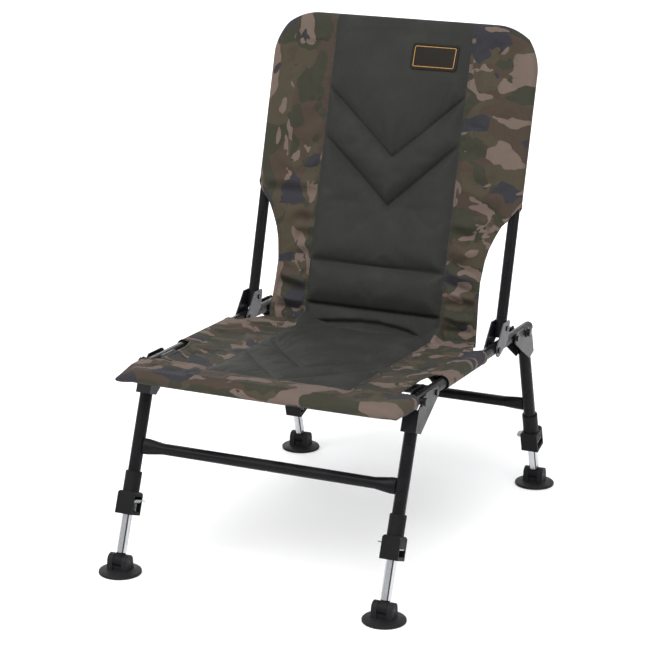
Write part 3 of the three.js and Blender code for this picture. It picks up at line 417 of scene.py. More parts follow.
def aluminiumMaterial(s):
    made, tree, shader = newMaterial("drawnAluminium", {"Metallic": 1.0})
    where = put(tree, "ShaderNodeTexCoord").outputs["Object"]
    streaks = noised(tree, stretched(tree, where, s["streaks"]), 1.0, 4.0)[0]
    dust = placeGroup(tree, settledDust, {"Vector": where, "Scale": s["dustScale"]})
    low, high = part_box("front_right_inner_leg")
    x = put(tree, "ShaderNodeSeparateXYZ", {0: where}).outputs[0]
    axis = times(tree, maths(tree, "SIGN", x), (low.x + high.x) / 2)
    across = maths(tree, "SUBTRACT", x, axis)
    # painted shade: a dark line along the shallow groove of each inner leg
    away = maths(tree, "ABSOLUTE", maths(tree, "SUBTRACT", across, s["grooveAt"] * mm))
    outside = ranged(tree, away, s["grooveFrom"] * mm, s["grooveTo"] * mm)
    bright = mixed(tree, streaks, s["dull"], s["bright"])
    tree.links.new(mixed(tree, outside, s["grooveShade"], bright), shader.inputs["Base Color"])
    rough = plus(tree, times(tree, streaks, s["streakRough"]), times(tree, dust["Grime"], s["grimeRough"]))
    tree.links.new(plus(tree, rough, s["rough"]), shader.inputs["Roughness"])
    bumped(tree, shader, streaks, s["bump"], s["depth"])
    return made


finishes = {name: hardMaterial(name + "_finish", s) for name, s in metalSet.items()}
finishes["leg_aluminium"] = aluminiumMaterial(drawnSet)
print("materials made")

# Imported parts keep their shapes: modifiers join their split faces, ease edges and smooth round sides
easeSet = {
    "merge": 0.000004,
    "joinAngle": 40,
    "easeAngle": 42,
    "roundAngle": 50,
    "segments": 2,
    "widths": {"frame_paint": 0.3, "bracket_paint": 0.35, "bolt_black": 0.25, "zinc_plate": 0.2,
               "moulded_plastic": 0.6, "foot_plastic": 0.7, "leg_aluminium": 0.25},
}


def shapeTree(name, merge, angle):
    tree = bpy.data.node_groups.new(name, "GeometryNodeTree")
    tree.interface.new_socket("Geometry", in_out="INPUT", socket_type="NodeSocketGeometry")
    tree.interface.new_socket("Geometry", in_out="OUTPUT", socket_type="NodeSocketGeometry")
    flow = tree.nodes.new("NodeGroupInput").outputs[0]
    if merge:
        joined = put(tree, "GeometryNodeMergeByDistance", {"Geometry": flow, "Distance": merge})
        bare = put(tree, "GeometryNodeRemoveAttribute",
                   {"Geometry": joined.outputs[0], "Name": "custom_normal"})
        flow = bare.outputs[0]
    turned = put(tree, "GeometryNodeInputMeshEdgeAngle").outputs[0]
    sharp = put(tree, "FunctionNodeCompare", {0: turned, 1: math.radians(angle)}, operation="GREATER_THAN")
    soft = put(tree, "GeometryNodeSetShadeSmooth", {"Geometry": flow, "Shade Smooth": True}, domain="FACE")
    crisp = put(tree, "GeometryNodeSetShadeSmooth",
                {"Geometry": soft.outputs[0], "Selection": sharp.outputs[0], "Shade Smooth": False},
                domain="EDGE")
    tree.links.new(crisp.outputs[0], tree.nodes.new("NodeGroupOutput").inputs[0])
    return tree


joinFaces = shapeTree("joinFaces", easeSet["merge"], easeSet["joinAngle"])
roundSides = shapeTree("roundSides", 0, easeSet["roundAngle"])


def dressNode(name, obj):
    look = obj.data.materials[0].name.split(".")[0]
    if look == "camo_cloth":
        obj.data.materials[0] = camoCloth
        return
    finish = "hinge_steel" if name.startswith("back_hinge") else look
    if name.endswith("ankle_pin"):
        finish = "bolt_black"
    obj.data.materials[0] = finishes[finish]
    if name.endswith("lock_spring"):  # shown as a coil of its own
        return
    obj.modifiers.new("joinFaces", "NODES").node_group = joinFaces
    bevel = obj.modifiers.new("easedEdges", "BEVEL")
    bevel.width = easeSet["widths"][look] * mm
    bevel.segments = easeSet["segments"]
    bevel.limit_method = "ANGLE"
    bevel.angle_limit = math.radians(easeSet["easeAngle"])
    obj.modifiers.new("roundSides", "NODES").node_group = roundSides
    obj.modifiers.new("evenNormals", "WEIGHTED_NORMAL").keep_sharp = True


for name, obj in nodes.items():
    dressNode(name, obj)
print("packed parts dressed")

# Axes of the two covers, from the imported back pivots, in millimetres.
# h is up from the tube's centre line, towards the sitter
tilt = math.radians(1.5)
lean = math.radians(15.2)
pivotLow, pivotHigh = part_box("back_pivot_bolt_right")
pivotY = (pivotLow.y + pivotHigh.y) / 2 / mm
pivotZ = (pivotLow.z + pivotHigh.z) / 2 / mm
pivotReach = 100
backOffset = 27


def seatToWorld(x, v, h):  # v runs forward from the middle of the rail
    u = -v - pivotReach
    y = pivotY + u * math.cos(tilt) + h * math.sin(tilt)
    z = pivotZ - u * math.sin(tilt) + h * math.cos(tilt)
    return np.stack([x, y, z], -1) * mm


def backToWorld(x, v, h):  # v runs up the back tube from the pivot's level
    b = backOffset - h
    y = pivotY + b * math.cos(lean) + v * math.sin(lean)
    z = pivotZ - b * math.sin(lean) + v * math.cos(lean)
    return np.stack([x, y, z], -1) * mm


def worldPoint(toWorld, *place):
    return Vector(toWorld(*(np.float64(k) for k in place)))


def smooth(t):
    t = np.clip(t, 0, 1)
    return t * t * (3 - 2 * t)


def softNoise(x, v, lengthX, lengthV, seed):
    dice = np.random.default_rng(seed)
    total = np.zeros_like(x)
    for _ in range(7):
        turn = dice.uniform(-0.5, 0.5)
        stretch = dice.uniform(0.7, 1.6)
        phase = dice.uniform(0, 2 * math.pi, 2)
        a = (x * math.cos(turn) + v * math.sin(turn)) / lengthX * stretch
        b = (v * math.cos(turn) - x * math.sin(turn)) / lengthV * stretch
        total += np.sin(2 * math.pi * a + phase[0]) * np.sin(2 * math.pi * b + phase[1])
    return total / 3.0


def segmentPlace(x, v, a, b):  # distance to a segment, and place along it
    ax, av = a
    bx, bv = b
    length = math.hypot(bx - ax, bv - av)
    dx, dv = (bx - ax) / length, (bv - av) / length
    along = np.clip((x - ax) * dx + (v - av) * dv, 0, length)
    return np.hypot(x - ax - along * dx, v - av - along * dv), along


def foldHeights(x, v, folds):  # ridges, or hollows, along lines of points
    total = np.zeros_like(x)
    for points, width, height in folds:
        best = np.full(x.shape, 1e9)
        fade = np.zeros_like(x)
        lengths = [math.dist(a, b) for a, b in zip(points, points[1:])]
        whole, gone = sum(lengths), 0
        for (a, b), length in zip(zip(points, points[1:]), lengths):
            d, along = segmentPlace(x, v, a, b)
            share = (gone + along) / whole
            nearer = d < best
            best = np.where(nearer, d, best)
            fade = np.where(nearer, np.sin(math.pi * np.clip(share, 0.02, 0.98)) ** 0.5, fade)
            gone += length
        total += height * fade * np.exp(-(best / width) ** 2)
    return total


def rowsBetween(marks):  # (start, step), and the end
    rows = []
    for (start, step), after in zip(marks[:-1], marks[1:]):
        end = after[0] if isinstance(after, tuple) else after
        count = max(1, round((end - start) / step))
        rows += [start + (end - start) * i / count for i in range(count)]
    rows.append(marks[-1])
    return np.array(rows, float)


# The plan of a cover: a grid with the panel's columns in its middle and the strips' beside them
def coverPlan(s):
    panelHalf, half, bend = s["panelHalf"], s["half"], s["bend"]
    endAt = lambda x: s["end"] - s["bow"] * np.minimum(np.abs(x) / (half - bend), 1) ** 2
    rows = rowsBetween(s["rows"])
    rise = np.interp(rows, *zip(*s["rowRise"]))
    bendV = s["end"] - s["bow"] - bend
    centre = np.linspace(-panelHalf, panelHalf, s["centreColumns"])
    shares = np.linspace(0, 1, s["stripColumns"] + 1)[1:]
    across = len(centre) + 2 * len(shares)
    x = np.zeros((len(rows), across))
    v = np.zeros_like(x)
    inner = rows + rise * panelHalf
    late = smooth((inner - (bendV - 30)) / (inner[-1] - (bendV - 30)))
    first = len(shares)
    x[:, first:first + len(centre)] = centre
    v[:, first:first + len(centre)] = (rows[:, None] + rise[:, None] * np.abs(centre)[None, :]
                                       + late[:, None] * (endAt(centre) - endAt(panelHalf))[None, :])
    outX = np.array([s["outerAt"](t) for t in inner])
    outV = inner.copy()
    turning = inner > bendV
    angle = (inner - bendV) / (inner[-1] - bendV) * math.pi / 4
    outX[turning] = half - bend + bend * np.cos(angle[turning])
    outV[turning] = bendV + bend * np.sin(angle[turning])
    flat = half - bend - panelHalf
    reach = flat + bend * math.pi / 4
    topX, topV = [], []
    for share in shares:
        gone = share * reach
        if gone < flat:
            topX.append(panelHalf + gone)
            topV.append(float(endAt(panelHalf + gone)))
        else:
            a = math.pi / 2 - (gone - flat) / bend
            topX.append(half - bend + bend * math.cos(a))
            topV.append(bendV + bend * math.sin(a))
    for j, share in enumerate(shares):
        px = (1 - share) * panelHalf + share * outX
        pv = (1 - share) * inner + share * outV
        px += late * (topX[j] - px[-1])
        pv += late * (topV[j] - pv[-1])
        right, left = first + len(centre) + j, first - 1 - j
        x[:, right], v[:, right] = px, pv
        x[:, left], v[:, left] = -px, pv
    wrapped = np.array([s["wrappedAt"](t) for t in inner])
    return {"x": x, "v": v, "first": first, "centre": len(centre), "wrapped": wrapped, "inner": inner,
            "bendV": bendV, "endAt": endAt}


def insideTube(s, plan):  # distance inside the tube's centre line, or inside the cloth's edge
    x, v = np.abs(plan["x"]), plan["v"]
    inner = s["half"] - s["bend"]
    outer = np.vectorize(s["outerAt"])(v)
    side = outer - x
    d = np.minimum(side, plan["endAt"](x) - v)
    corner = (x > inner) & (v > plan["bendV"])
    return np.where(corner, s["bend"] - np.hypot(x - inner, v - plan["bendV"]), d)


def edgeLoop(n, m):  # up the right side, across the top to the left, down, and back along the low edge
    loop = [(i, m - 1) for i in range(n)]
    loop += [(n - 1, j) for j in range(m - 2, -1, -1)]
    loop += [(i, 0) for i in range(n - 2, -1, -1)]
    loop += [(0, j) for j in range(1, m - 1)]
    return loop


# Which points of the edge wrap the tube, and the way out at each
def edgeWays(s, plan, loop, at):
    lastRow, lastColumn = plan["x"].shape[0] - 1, plan["x"].shape[1] - 1
    run = np.roll(at, -1, 0) - np.roll(at, 1, 0)
    out = np.stack([run[:, 1], -run[:, 0]], -1)
    out /= np.linalg.norm(out, axis=1)[:, None] + 1e-9
    inner = s["half"] - s["bend"]
    wraps = [bool(i == lastRow or (plan["wrapped"][i] and j in (0, lastColumn))) for i, j in loop]
    for k, (px, pv) in enumerate(at):
        if not wraps[k]:
            continue
        if abs(px) > inner and pv > plan["bendV"]:
            way = np.array([px - math.copysign(inner, px), pv - plan["bendV"]])
            out[k] = way / np.linalg.norm(way)
        else:
            out[k] = (0, 1) if loop[k][0] == lastRow else (math.copysign(1, px), 0)
    return wraps, out


diagonalGain = 0.414


# How far the cloth is drawn out into points at the corners of the frame
def cornerPull(s, at, wraps, out):
    pull = np.zeros(len(at))
    for place, width, length in s["corners"]:
        for k in range(len(at)):
            if wraps[k]:
                square = (1 / np.abs(out[k]).max() - 1) / diagonalGain
                pull[k] += length * square * math.exp(-(math.dist(at[k], place) / width) ** 2)
    return pull


# One cover: the outer face, the inner face, and a strip round the edge that wraps the tube or turns a hem
def buildCover(name, s, plan, heights, toWorld):
    x, v = plan["x"], plan["v"]
    n, m = x.shape
    size = n * m
    top, low = heights
    steps = s["ringSteps"]
    loop = edgeLoop(n, m)
    count = len(loop)
    at = np.array([(x[place], v[place]) for place in loop])
    wraps, out = edgeWays(s, plan, loop, at)
    pull = cornerPull(s, at, wraps, out)
    slipped = v + s["slip"](x, v)
    points = [toWorld(x.ravel(), slipped.ravel(), top.ravel()), toWorld(x.ravel(), v.ravel(), low.ravel())]
    hi = np.array([top[place] for place in loop])
    lo = np.array([low[place] for place in loop])
    radius = (hi - lo) / 2
    onSide = np.array([w and abs(way[0]) > 0.99 for w, way in zip(wraps, out)])
    for step in range(1, steps):
        a = math.pi * step / steps
        reach = out * (radius * math.sin(a) + pull * math.sin(a) ** 3)[:, None]
        px, pv = at[:, 0] + reach[:, 0], at[:, 1] + reach[:, 1]
        pv = pv + s["endShear"](at[:, 1], a) * onSide
        points.append(toWorld(px, pv, (hi + lo) / 2 + radius * math.cos(a) - 0.3 * pull * math.sin(a)))

    def ringIndex(k, step):
        i, j = loop[k % count]
        if step in (0, steps):
            return i * m + j + (size if step else 0)
        return 2 * size + (step - 1) * count + k % count

    def ringAt(k, step):
        k %= count
        return at[k] + out[k] * radius[k] * math.pi * step / steps

    def flat(px, pv, turned):
        return (pv * mm, px * mm) if turned else (px * mm, pv * mm)

    faces, looks, uvs = [], [], []
    first, last = plan["first"], plan["first"] + plan["centre"] - 1
    for i in range(n - 1):
        cut = plan["wrapped"][i] != plan["wrapped"][i + 1] or s["openUnder"](plan["inner"][i])
        for j in range(m - 1):
            q = [(i, j), (i, j + 1), (i + 1, j + 1), (i + 1, j)]
            turned = s["turnLeft"] and x[i, j] < -s["panelHalf"] - 0.1
            inMiddle = first <= j < last
            panel = inMiddle and s["panelRows"](plan["inner"][i])
            faces.append([a * m + b for a, b in q])
            looks.append(1 if panel else 0)
            uvs.append([flat(x[c], v[c], turned) for c in q])
            if cut and not inMiddle and min(plan["inside"][c] for c in q) < 30:
                continue
            faces.append([size + a * m + b for a, b in reversed(q)])
            looks.append(2 if panel else 0)
            uvs.append([flat(x[c] + 700, v[c] + 330, turned) for c in reversed(q)])
    for k in range(count):
        (i, j), (ni, nj) = loop[k], loop[(k + 1) % count]
        if wraps[k] != wraps[(k + 1) % count]:
            continue
        atEnd = i == ni and (i == 0 or (i == n - 1 and s["panelOverTop"]))
        panel = atEnd and first <= min(j, nj) < last
        turned = s["turnLeft"] and at[k][0] < -s["panelHalf"] - 0.1
        half = wraps[k] and i != n - 1 and s["openUnder"](plan["inner"][i])
        for step in range(steps // 2 if half else steps):
            corners = [(k, step), (k, step + 1), (k + 1, step + 1), (k + 1, step)]
            faces.append([ringIndex(*c) for c in corners])
            looks.append(1 if panel else 0)
            uvs.append([flat(*ringAt(*c), turned) for c in corners])
    made = newMesh(name, np.concatenate(points), faces)
    layer = made.data.uv_layers.new(name="clothPlan")
    layer.data.foreach_set("uv", np.array(uvs, np.float32).ravel())
    for look in (camoCloth, panelCloth, liningCloth):
        made.data.materials.append(look)
    made.data.polygons.foreach_set("material_index", looks)
    return made


def seamDistances(x, v, seams):
    best = np.full(x.shape, 1e9)
    place = np.zeros_like(x)
    for a, b in seams:
        d, along = segmentPlace(x, v, a, b)
        place = np.where(d < best, along, place)
        best = np.minimum(best, d)
    return best, place


padSet = {"power": 0.85, "puckerReach": 8, "puckerPitch": 13, "waver": 90, "seed": 5}


def padHeights(x, v, s):
    d, along = seamDistances(x, v, s["seams"])
    share = np.clip(d / s["padReach"](v), 0, 1)
    crown = np.sin(share * math.pi / 2) ** padSet["power"]
    waver = softNoise(x, v, padSet["waver"], padSet["waver"], padSet["seed"])
    wave = 0.5 + 0.5 * np.sin(along * 2 * math.pi / padSet["puckerPitch"] + waver)
    pucker = s["pucker"] * np.exp(-d / padSet["puckerReach"]) * wave
    return (s["padCrown"](v) * crown - pucker * (d > 1)) * (np.abs(x) <= s["panelHalf"] + 0.1)


# Pads hang a little over the seams below them: a seam's two ends, and how far
backSlips = [((-120, 41.5), (120, 41.5), 5.0), ((-120, 110.5), (120, 110.5), 2.0),
             ((0, 291.5), (120, 398.5), 1.2), ((0, 211.5), (120, 320.5), 1.2)]


def backSlip(x, v, reach=3.5):
    total = np.zeros_like(x)
    for (ax, av), (bx, bv), most in backSlips:
        across = np.abs(x) if ax == 0 else x
        seam = av + (bv - av) * (across - ax) / (bx - ax)
        d = np.maximum(v - seam, 0)
        if ax == 0:
            d = d * 120 / math.hypot(120, bv - av)
        total -= most * (d / reach) * np.exp(1 - d / reach)
    return total * (np.abs(x) < 119) * smooth((120 - np.abs(x)) / 6)


backSet = {
    "half": 222, "bend": 64, "end": 509.5, "bow": 0, "panelHalf": 120,
    "centreColumns": 65, "stripColumns": 24, "ringSteps": 12,
    "rows": [(-1, 2.4), (41.5, 3.4), (110.5, 2.8), (211.5, 3.3), (291.5, 3.3), 509.5],
    "rowRise": [(-1, 0), (110.5, 0), (211.5, 0.908), (291.5, 0.892), (509.5, 0)],
    "waist": [(-1, 185), (36.5, 183), (68.5, 181), (103.5, 180), (138.5, 184), (158.5, 189), (178.5, 197),
              (198.5, 207), (213.4, 222)],
    "sleeveEnd": 213.5,
    "thick": 1.6,
    "seams": [((-120, -20), (-120, 560)), ((120, -20), (120, 560)), ((0, 291.5), (120, 398.5)),
              ((0, 291.5), (-120, 398.5)), ((0, 211.5), (120, 320.5)), ((0, 211.5), (-120, 320.5)),
              ((-120, 110.5), (120, 110.5)), ((-120, 41.5), (120, 41.5))],
    "padReach": lambda v: np.interp(v, (41, 42, 110, 111, 300), (9, 24, 24, 18, 20)),
    "pucker": 0.5,
    "padCrown": lambda v: np.interp(v, (41, 42, 110, 111, 420, 500, 509),
                                    (0.0, 19.5, 19.5, 16.5, 16.5, 2.0, 0.5)),
    "corners": [((-203, 491), 30, 3.0), ((203, 491), 30, 3.0)],
    "folds": [  # points, width, height
        ([(-229, 236), (-178, 237), (-121, 234)], 8, 6.5),
        ([(-226, 221), (-176, 222), (-121, 222)], 6, -7.5),
        ([(-166, 186), (-148, 190), (-122, 188)], 5.4, 6.6),
        ([(-160, 174), (-144, 176), (-122, 177)], 4.5, -6.3),
        ([(-160, 160), (-142, 163), (-122, 162)], 5.4, 6.3),
        ([(-154, 147), (-140, 149), (-122, 149)], 4.5, -5.7),
        ([(-152, 130), (-138, 132), (-122, 133)], 5.4, 6),
        ([(-150, 117), (-136, 118), (-122, 118)], 4.5, -5.4),
        ([(-182, 84), (-150, 76), (-122, 70)], 6.3, 8.1),
        ([(-182, 70), (-150, 62), (-122, 56)], 5.4, -9.8),
        ([(-184, 46), (-152, 40), (-122, 38)], 6.3, 7.5),
        ([(-184, 26), (-152, 24), (-122, 22)], 5.4, -6.9),
        ([(170, 196), (148, 192), (122, 194)], 6.3, 6.9),
        ([(166, 176), (148, 177), (122, 181)], 4.5, -8.1),
        ([(168, 150), (148, 148), (122, 152)], 7.2, 6.3),
        ([(170, 118), (150, 122), (122, 132)], 4.5, -8.4),
        ([(174, 104), (150, 108), (122, 114)], 5.4, 6.9),
        ([(176, 84), (150, 90), (122, 98)], 4.5, -7.5),
        ([(180, 76), (150, 78), (122, 82)], 6.3, 6.6),
        ([(182, 66), (156, 65), (122, 62)], 4.5, -8.4),
        ([(182, 40), (152, 40), (122, 42)], 6.3, 6.9),
        ([(182, 22), (152, 20), (122, 20)], 5.4, -6),
        ([(-216, 270), (-170, 262), (-124, 272)], 11, 2.4),
        ([(216, 244), (170, 240), (124, 252)], 10, 3.0),
        ([(205, 222), (165, 214), (124, 220)], 8, -3.0),
        ([(-140, 470), (-150, 420), (-146, 370)], 9, 1.8),
        ([(140, 470), (152, 420), (146, 350)], 9, 1.8),
        ([(-190, 440), (-176, 380), (-182, 320)], 12, 2.0),
        ([(188, 440), (178, 370), (184, 310)], 12, 2.0),
    ],
    "outerAt": lambda v: float(np.interp(v, *zip(*backSet["waist"]))),
    "wrappedAt": lambda v: v >= backSet["sleeveEnd"],
    "openUnder": lambda v: False,
    "panelRows": lambda v: True,
    "panelOverTop": True,
    "turnLeft": True,
    "endShear": lambda v, a: 17 * math.sin(a) * (1 - smooth((v - 213.5) / 60)),
    "slip": backSlip,
    "bell": 22,
    "slack": 2.5,
}


def seatOuterAt(v):
    s = seatSet
    if v < s["sleeveEnd"]:
        share = min(max((s["sleeveEnd"] - v) / (s["rearEnd"] + s["sleeveEnd"]), 0), 1)
        return s["rearWide"] + (s["rearHalf"] - s["rearWide"]) * share ** 0.8
    start, end = s["notch"]
    if start < v < end:
        return s["notchHalf"] + s["notchRound"] * max(1 - (v - start) / s["notchFade"], 0) ** 1.5
    return s["half"]


seatSet = {
    "half": 222, "bend": 32, "end": 304, "bow": 2, "panelHalf": 120, "centreColumns": 73, "stripColumns": 22,
    "ringSteps": 14,
    "rows": [(-122.5, 2.8), (-48.6, 1.2), (-47.2, 3.4), (118.6, 1.2), (119.8, 3.2),
             (235.8, 1.0), (236.8, 3.2), 303.2],
    "rowRise": [(-122.5, 0), (303.2, 0)],
    "frontSeam": 236.8, "sleeveEnd": -47.8, "notch": (119.2, 236.6), "notchHalf": 200.9,
    "notchRound": 9, "notchFade": 36, "underEnd": 250.5, "rearEnd": 122.5,
    "rearHalf": 185, "rearWide": 209.2,
    "thick": 1.6,
    "seams": [((-120, -160), (-120, 236.8)), ((120, -160), (120, 236.8)), ((-120, 236.8), (120, 236.8)),
              ((-120, 99), (0, 234)), ((120, 99), (0, 234)), ((-112, 17), (0, 144)), ((112, 17), (0, 144))],
    "padReach": lambda v: 15.0 + 0 * v,
    "pucker": 0.3,
    "padCrown": lambda v: np.interp(v, (-122, -90, 60, 216), (3.0, 4.5, 4.2, 3.4)),
    "corners": [((-212, 294), 40, 21.0), ((212, 294), 40, 13.0)],
    "folds": [
        ([(-205, -40), (-165, -70), (-124, -104)], 7, 4.2),
        ([(-207, -24), (-166, -54), (-124, -84)], 5, -3.0),
        ([(-209, -8), (-165, -36), (-124, -60)], 7, 3.4),
        ([(-212, 30), (-170, 0), (-124, -20)], 8, 2.4),
        ([(-213, 12), (-168, -18), (-124, -42)], 5, -2.2),
        ([(-206, 142), (-170, 120), (-124, 108)], 7, 1.8),
        ([(-206, 84), (-170, 62), (-124, 46)], 8, 1.6),
        ([(205, -40), (165, -62), (124, -84)], 7, 3.4),
        ([(208, -22), (165, -30), (124, -34)], 5, -3.4),
        ([(210, 2), (165, -8), (124, -14)], 7, 3.0),
        ([(212, 60), (170, 34), (124, 18)], 8, 2.2),
        ([(212, 84), (170, 66), (124, 52)], 5, -2.6),
        ([(204, 112), (170, 92), (124, 74)], 7, 2.4),
        ([(206, 182), (160, 176), (112, 192)], 7, 1.4),
        ([(-196, 250), (-160, 232), (-124, 218)], 10, 1.6),
        ([(196, 250), (160, 232), (124, 220)], 10, 1.6),
    ],
    "outerAt": seatOuterAt,
    "wrappedAt": lambda v: v >= seatSet["sleeveEnd"] and not seatSet["notch"][0] < v < seatSet["notch"][1],
    "openUnder": lambda v: seatSet["notch"][1] < v < seatSet["underEnd"],
    "panelRows": lambda v: v < seatSet["frontSeam"] - 0.1,
    "panelOverTop": False,
    "turnLeft": False,
    "endShear": lambda v, a: 0,
    "slip": lambda x, v: 0 * v,
    "bell": 40,
    "slack": 2.0,
}

sheetSet = {"sleeve": 11.3, "sideHold": 14, "endHold": 30, "bellFrom": 100, "bellFade": 50, "ripple": 0.4,
            "rippleX": 70, "rippleV": 110, "seed": 11, "underReach": 28, "padUnder": 0.25, "padOver": 0.8}


def edgeHeightBack(v):
    return 7 + 4.3 * smooth((v - 90) / 115)


def edgeHeightSeat(v):
    end = seatSet["sleeveEnd"]
    return np.where(v < end, np.interp(v, (-seatSet["rearEnd"], end), (3.2, 9.0)), sheetSet["sleeve"])


# Height of the sheet: across the panel, over the strips beside it and up onto the tubes
def sheetHeights(s, plan, base, edge):
    g, sleeve = sheetSet, sheetSet["sleeve"]
    x, v = plan["x"], plan["v"]
    d = np.maximum(plan["inside"], 0)
    outer = np.vectorize(s["outerAt"])(v)
    centre, seam = base(x, v)
    a = np.abs(x) / s["panelHalf"]
    t = np.clip((np.abs(x) - s["panelHalf"]) / (outer - s["panelHalf"]), 0, 1)
    strip = seam + (edge(v) - seam) * t - s["slack"] * 4 * t * (1 - t)
    body = np.where(a <= 1, centre + (seam - centre) * a * a, strip)
    bell = np.exp(-(d / s["bell"]) ** 2) * smooth((v - s["end"] + g["bellFrom"]) / g["bellFade"])
    top = body + (sleeve - body) * bell
    front = np.maximum(plan["endAt"](np.abs(x)) - v, 0)
    loose = smooth(d / g["sideHold"]) * smooth(front / g["endHold"])
    ripple = softNoise(x, v, g["rippleX"], g["rippleV"], g["seed"])
    top = top + loose * foldHeights(x, v, s["folds"]) + loose * g["ripple"] * ripple
    pad = padHeights(x, v, s)
    held = np.vectorize(s["wrappedAt"])(v) | (front < g["endHold"])
    under = np.clip(1 - (d / g["underReach"]) ** 2, 0, 1) ** 2 * held
    low = top - s["thick"] - under * (2 * sleeve - s["thick"]) - g["padUnder"] * pad
    top = settled(s, plan, top + g["padOver"] * pad)
    n, m = x.shape
    for i, j in edgeLoop(n, m):
        if i == n - 1 or (plan["wrapped"][i] and j in (0, m - 1)):
            top[i, j], low[i, j] = sleeve, -sleeve
    return top, low


clothSim = {"frames": 20, "quality": 6, "mass": 0.2, "stretch": 14, "shear": 5, "bending": 0.6,
            "pressure": 4.0, "stripShare": 0.35, "panelSlack": -0.008, "stripSlack": -0.04,
            "seamHold": 2.4, "edgeHold": 9, "edgeFade": 12, "endHold": 1, "cap": 6.0}


# The sheet is filled and let out a little between its seams, and settles into its own creases
def settled(s, plan, top):
    g = clothSim
    x, v = plan["x"], plan["v"]
    n, m = x.shape
    trial = newMesh("trialSheet", np.stack([x, v, top], -1).reshape(-1, 3) * mm, gridFaces(n, m))
    seam, _ = seamDistances(x, v, s["seams"])
    inPanel = np.abs(x) <= s["panelHalf"] + 0.1
    held = np.where((seam < g["seamHold"]) & inPanel, 1.0, 0.0)
    held = np.maximum(held, 1 - smooth((plan["inside"] - g["edgeHold"]) / g["edgeFade"]))
    held = np.maximum(held, v - v[0] < g["endHold"])
    filled = np.where(inPanel, 1.0, g["stripShare"])
    for label, weights in (("held", held), ("filled", filled), ("padded", inPanel)):
        group = trial.vertex_groups.new(name=label)
        for k, w in enumerate(weights.ravel()):
            if w > 0:
                group.add([k], float(w), "REPLACE")
    cloth = trial.modifiers.new("settling", "CLOTH")
    c = cloth.settings
    c.quality = g["quality"]
    c.mass = g["mass"]
    c.tension_stiffness = c.compression_stiffness = g["stretch"]
    c.shear_stiffness = g["shear"]
    c.bending_stiffness = g["bending"]
    c.effector_weights.gravity = 0
    c.vertex_group_mass = "held"
    c.use_pressure = True
    c.uniform_pressure_force = g["pressure"]
    c.vertex_group_pressure = "filled"
    c.vertex_group_shrink = "padded"
    c.shrink_min = g["stripSlack"]
    c.shrink_max = g["panelSlack"]
    cloth.collision_settings.use_collision = False
    cloth.collision_settings.use_self_collision = False
    scene = bpy.context.scene
    for step in range(1, g["frames"] + 1):
        scene.frame_set(step)
    shaped = trial.evaluated_get(bpy.context.evaluated_depsgraph_get())
    found = np.empty(n * m * 3)
    shaped.data.vertices.foreach_get("co", found)
    rise = found.reshape(n, m, 3)[:, :, 2] / mm - top
    print("sheet settled, rise from", round(float(rise.min()), 1), "to", round(float(rise.max()), 1), "mm")
    bpy.data.objects.remove(trial)
    scene.frame_set(1)
    return top + g["cap"] * np.tanh(rise / g["cap"])


# Heights at the middle and at the panel's side seams
foldArch = {"x": (-122, -104, -82, -43, -15, 14, 46, 70, 95), "v": (-1, 4.5, 8.5, 12.5, 15, 15.5, 12, 8, -4)}


def backBase(x, v):
    centre = np.interp(v, (2, 43, 109, 150, 211, 288, 400, 480, 509), (6, 8.5, 10.5, 4, -5.5, 0.5, 1, 6, 9.5))
    seam = np.interp(v, (2, 43, 109, 323, 398, 509), (7, 8.5, 10.5, 11.5, 10.8, 9.5))
    arch = np.interp(x, foldArch["x"], foldArch["v"])
    within = smooth((120 - np.abs(x)) / 12)
    band = 5.0 * smooth(1 - (v - arch) / (41.5 - arch)) - 3.0 * np.exp(-((v - 40) / 4) ** 2)
    crease = -9.0 * np.exp(-(np.where(v > arch, 3.0, 1.7) * (v - arch) / 11.0) ** 2)
    apron = 0.95 * np.maximum(arch - v, 0)
    extra = within * (band + apron) + smooth((121 - np.abs(x)) / 5) * crease
    return centre + extra, seam + extra


rearArch = {"x": (0, 70, 90, 104, 120, 150), "v": (-135, -122, -112, -97, -84, -84)}


def seatBase(x, v):
    centre = np.interp(v, (-122, -60, 60, 150, 237, 304), (-5, -6, -5, 0, 3, 11))
    seam = np.interp(v, (-122, -60, 60, 237, 304), (2.5, 3, 2.5, 3.8, 11))
    arch = np.interp(np.abs(x), rearArch["x"], rearArch["v"])
    within = smooth((135 - np.abs(x)) / 14)
    rise = 0.42 * np.maximum(arch - v, 0) - 4.0 * np.exp(-((v - arch) / 3.2) ** 2)
    return centre + within * rise, seam + within * rise


plans = {}
covers = {}
for name, s, base, edge, toWorld in (("backCover", backSet, backBase, edgeHeightBack, backToWorld),
                                     ("seatCover", seatSet, seatBase, edgeHeightSeat, seatToWorld)):
    plan = coverPlan(s)
    plan["inside"] = insideTube(s, plan)
    plan["heights"] = sheetHeights(s, plan, base, edge)
    covers[name] = buildCover(name, s, plan, plan["heights"], toWorld)
    plans[name] = plan
    print(name, "made with", len(covers[name].data.vertices), "points")

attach(covers["backCover"], "back")
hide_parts("back_cover")
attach(covers["seatCover"], "seat")
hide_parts("seat_cover")


# Stitches laid on a cover's surface
def surfaceOf(obj):
    return BVHTree.FromPolygons([v.co.copy() for v in obj.data.vertices],
                                [tuple(p.vertices) for p in obj.data.polygons])


surfaces = {name: surfaceOf(obj) for name, obj in covers.items()}


def onSurface(cover, x, v, high=60):
    toWorld = backToWorld if cover == "backCover" else seatToWorld
    start = worldPoint(toWorld, x, v, high)
    way = (worldPoint(toWorld, x, v, 0) - start).normalized()
    hit, normal, _, _ = surfaces[cover].ray_cast(start, way, 2 * high * mm)
    if hit is None:
        return None, None
    return hit, (normal if normal.dot(way) < 0 else -normal)


stitchSet = {"pitch": 3.4, "length": 2.7, "radius": 0.36, "tip": 0.45, "rise": 0.22, "lift": 0.05,
             "sides": 5, "steps": 4, "apart": 3}


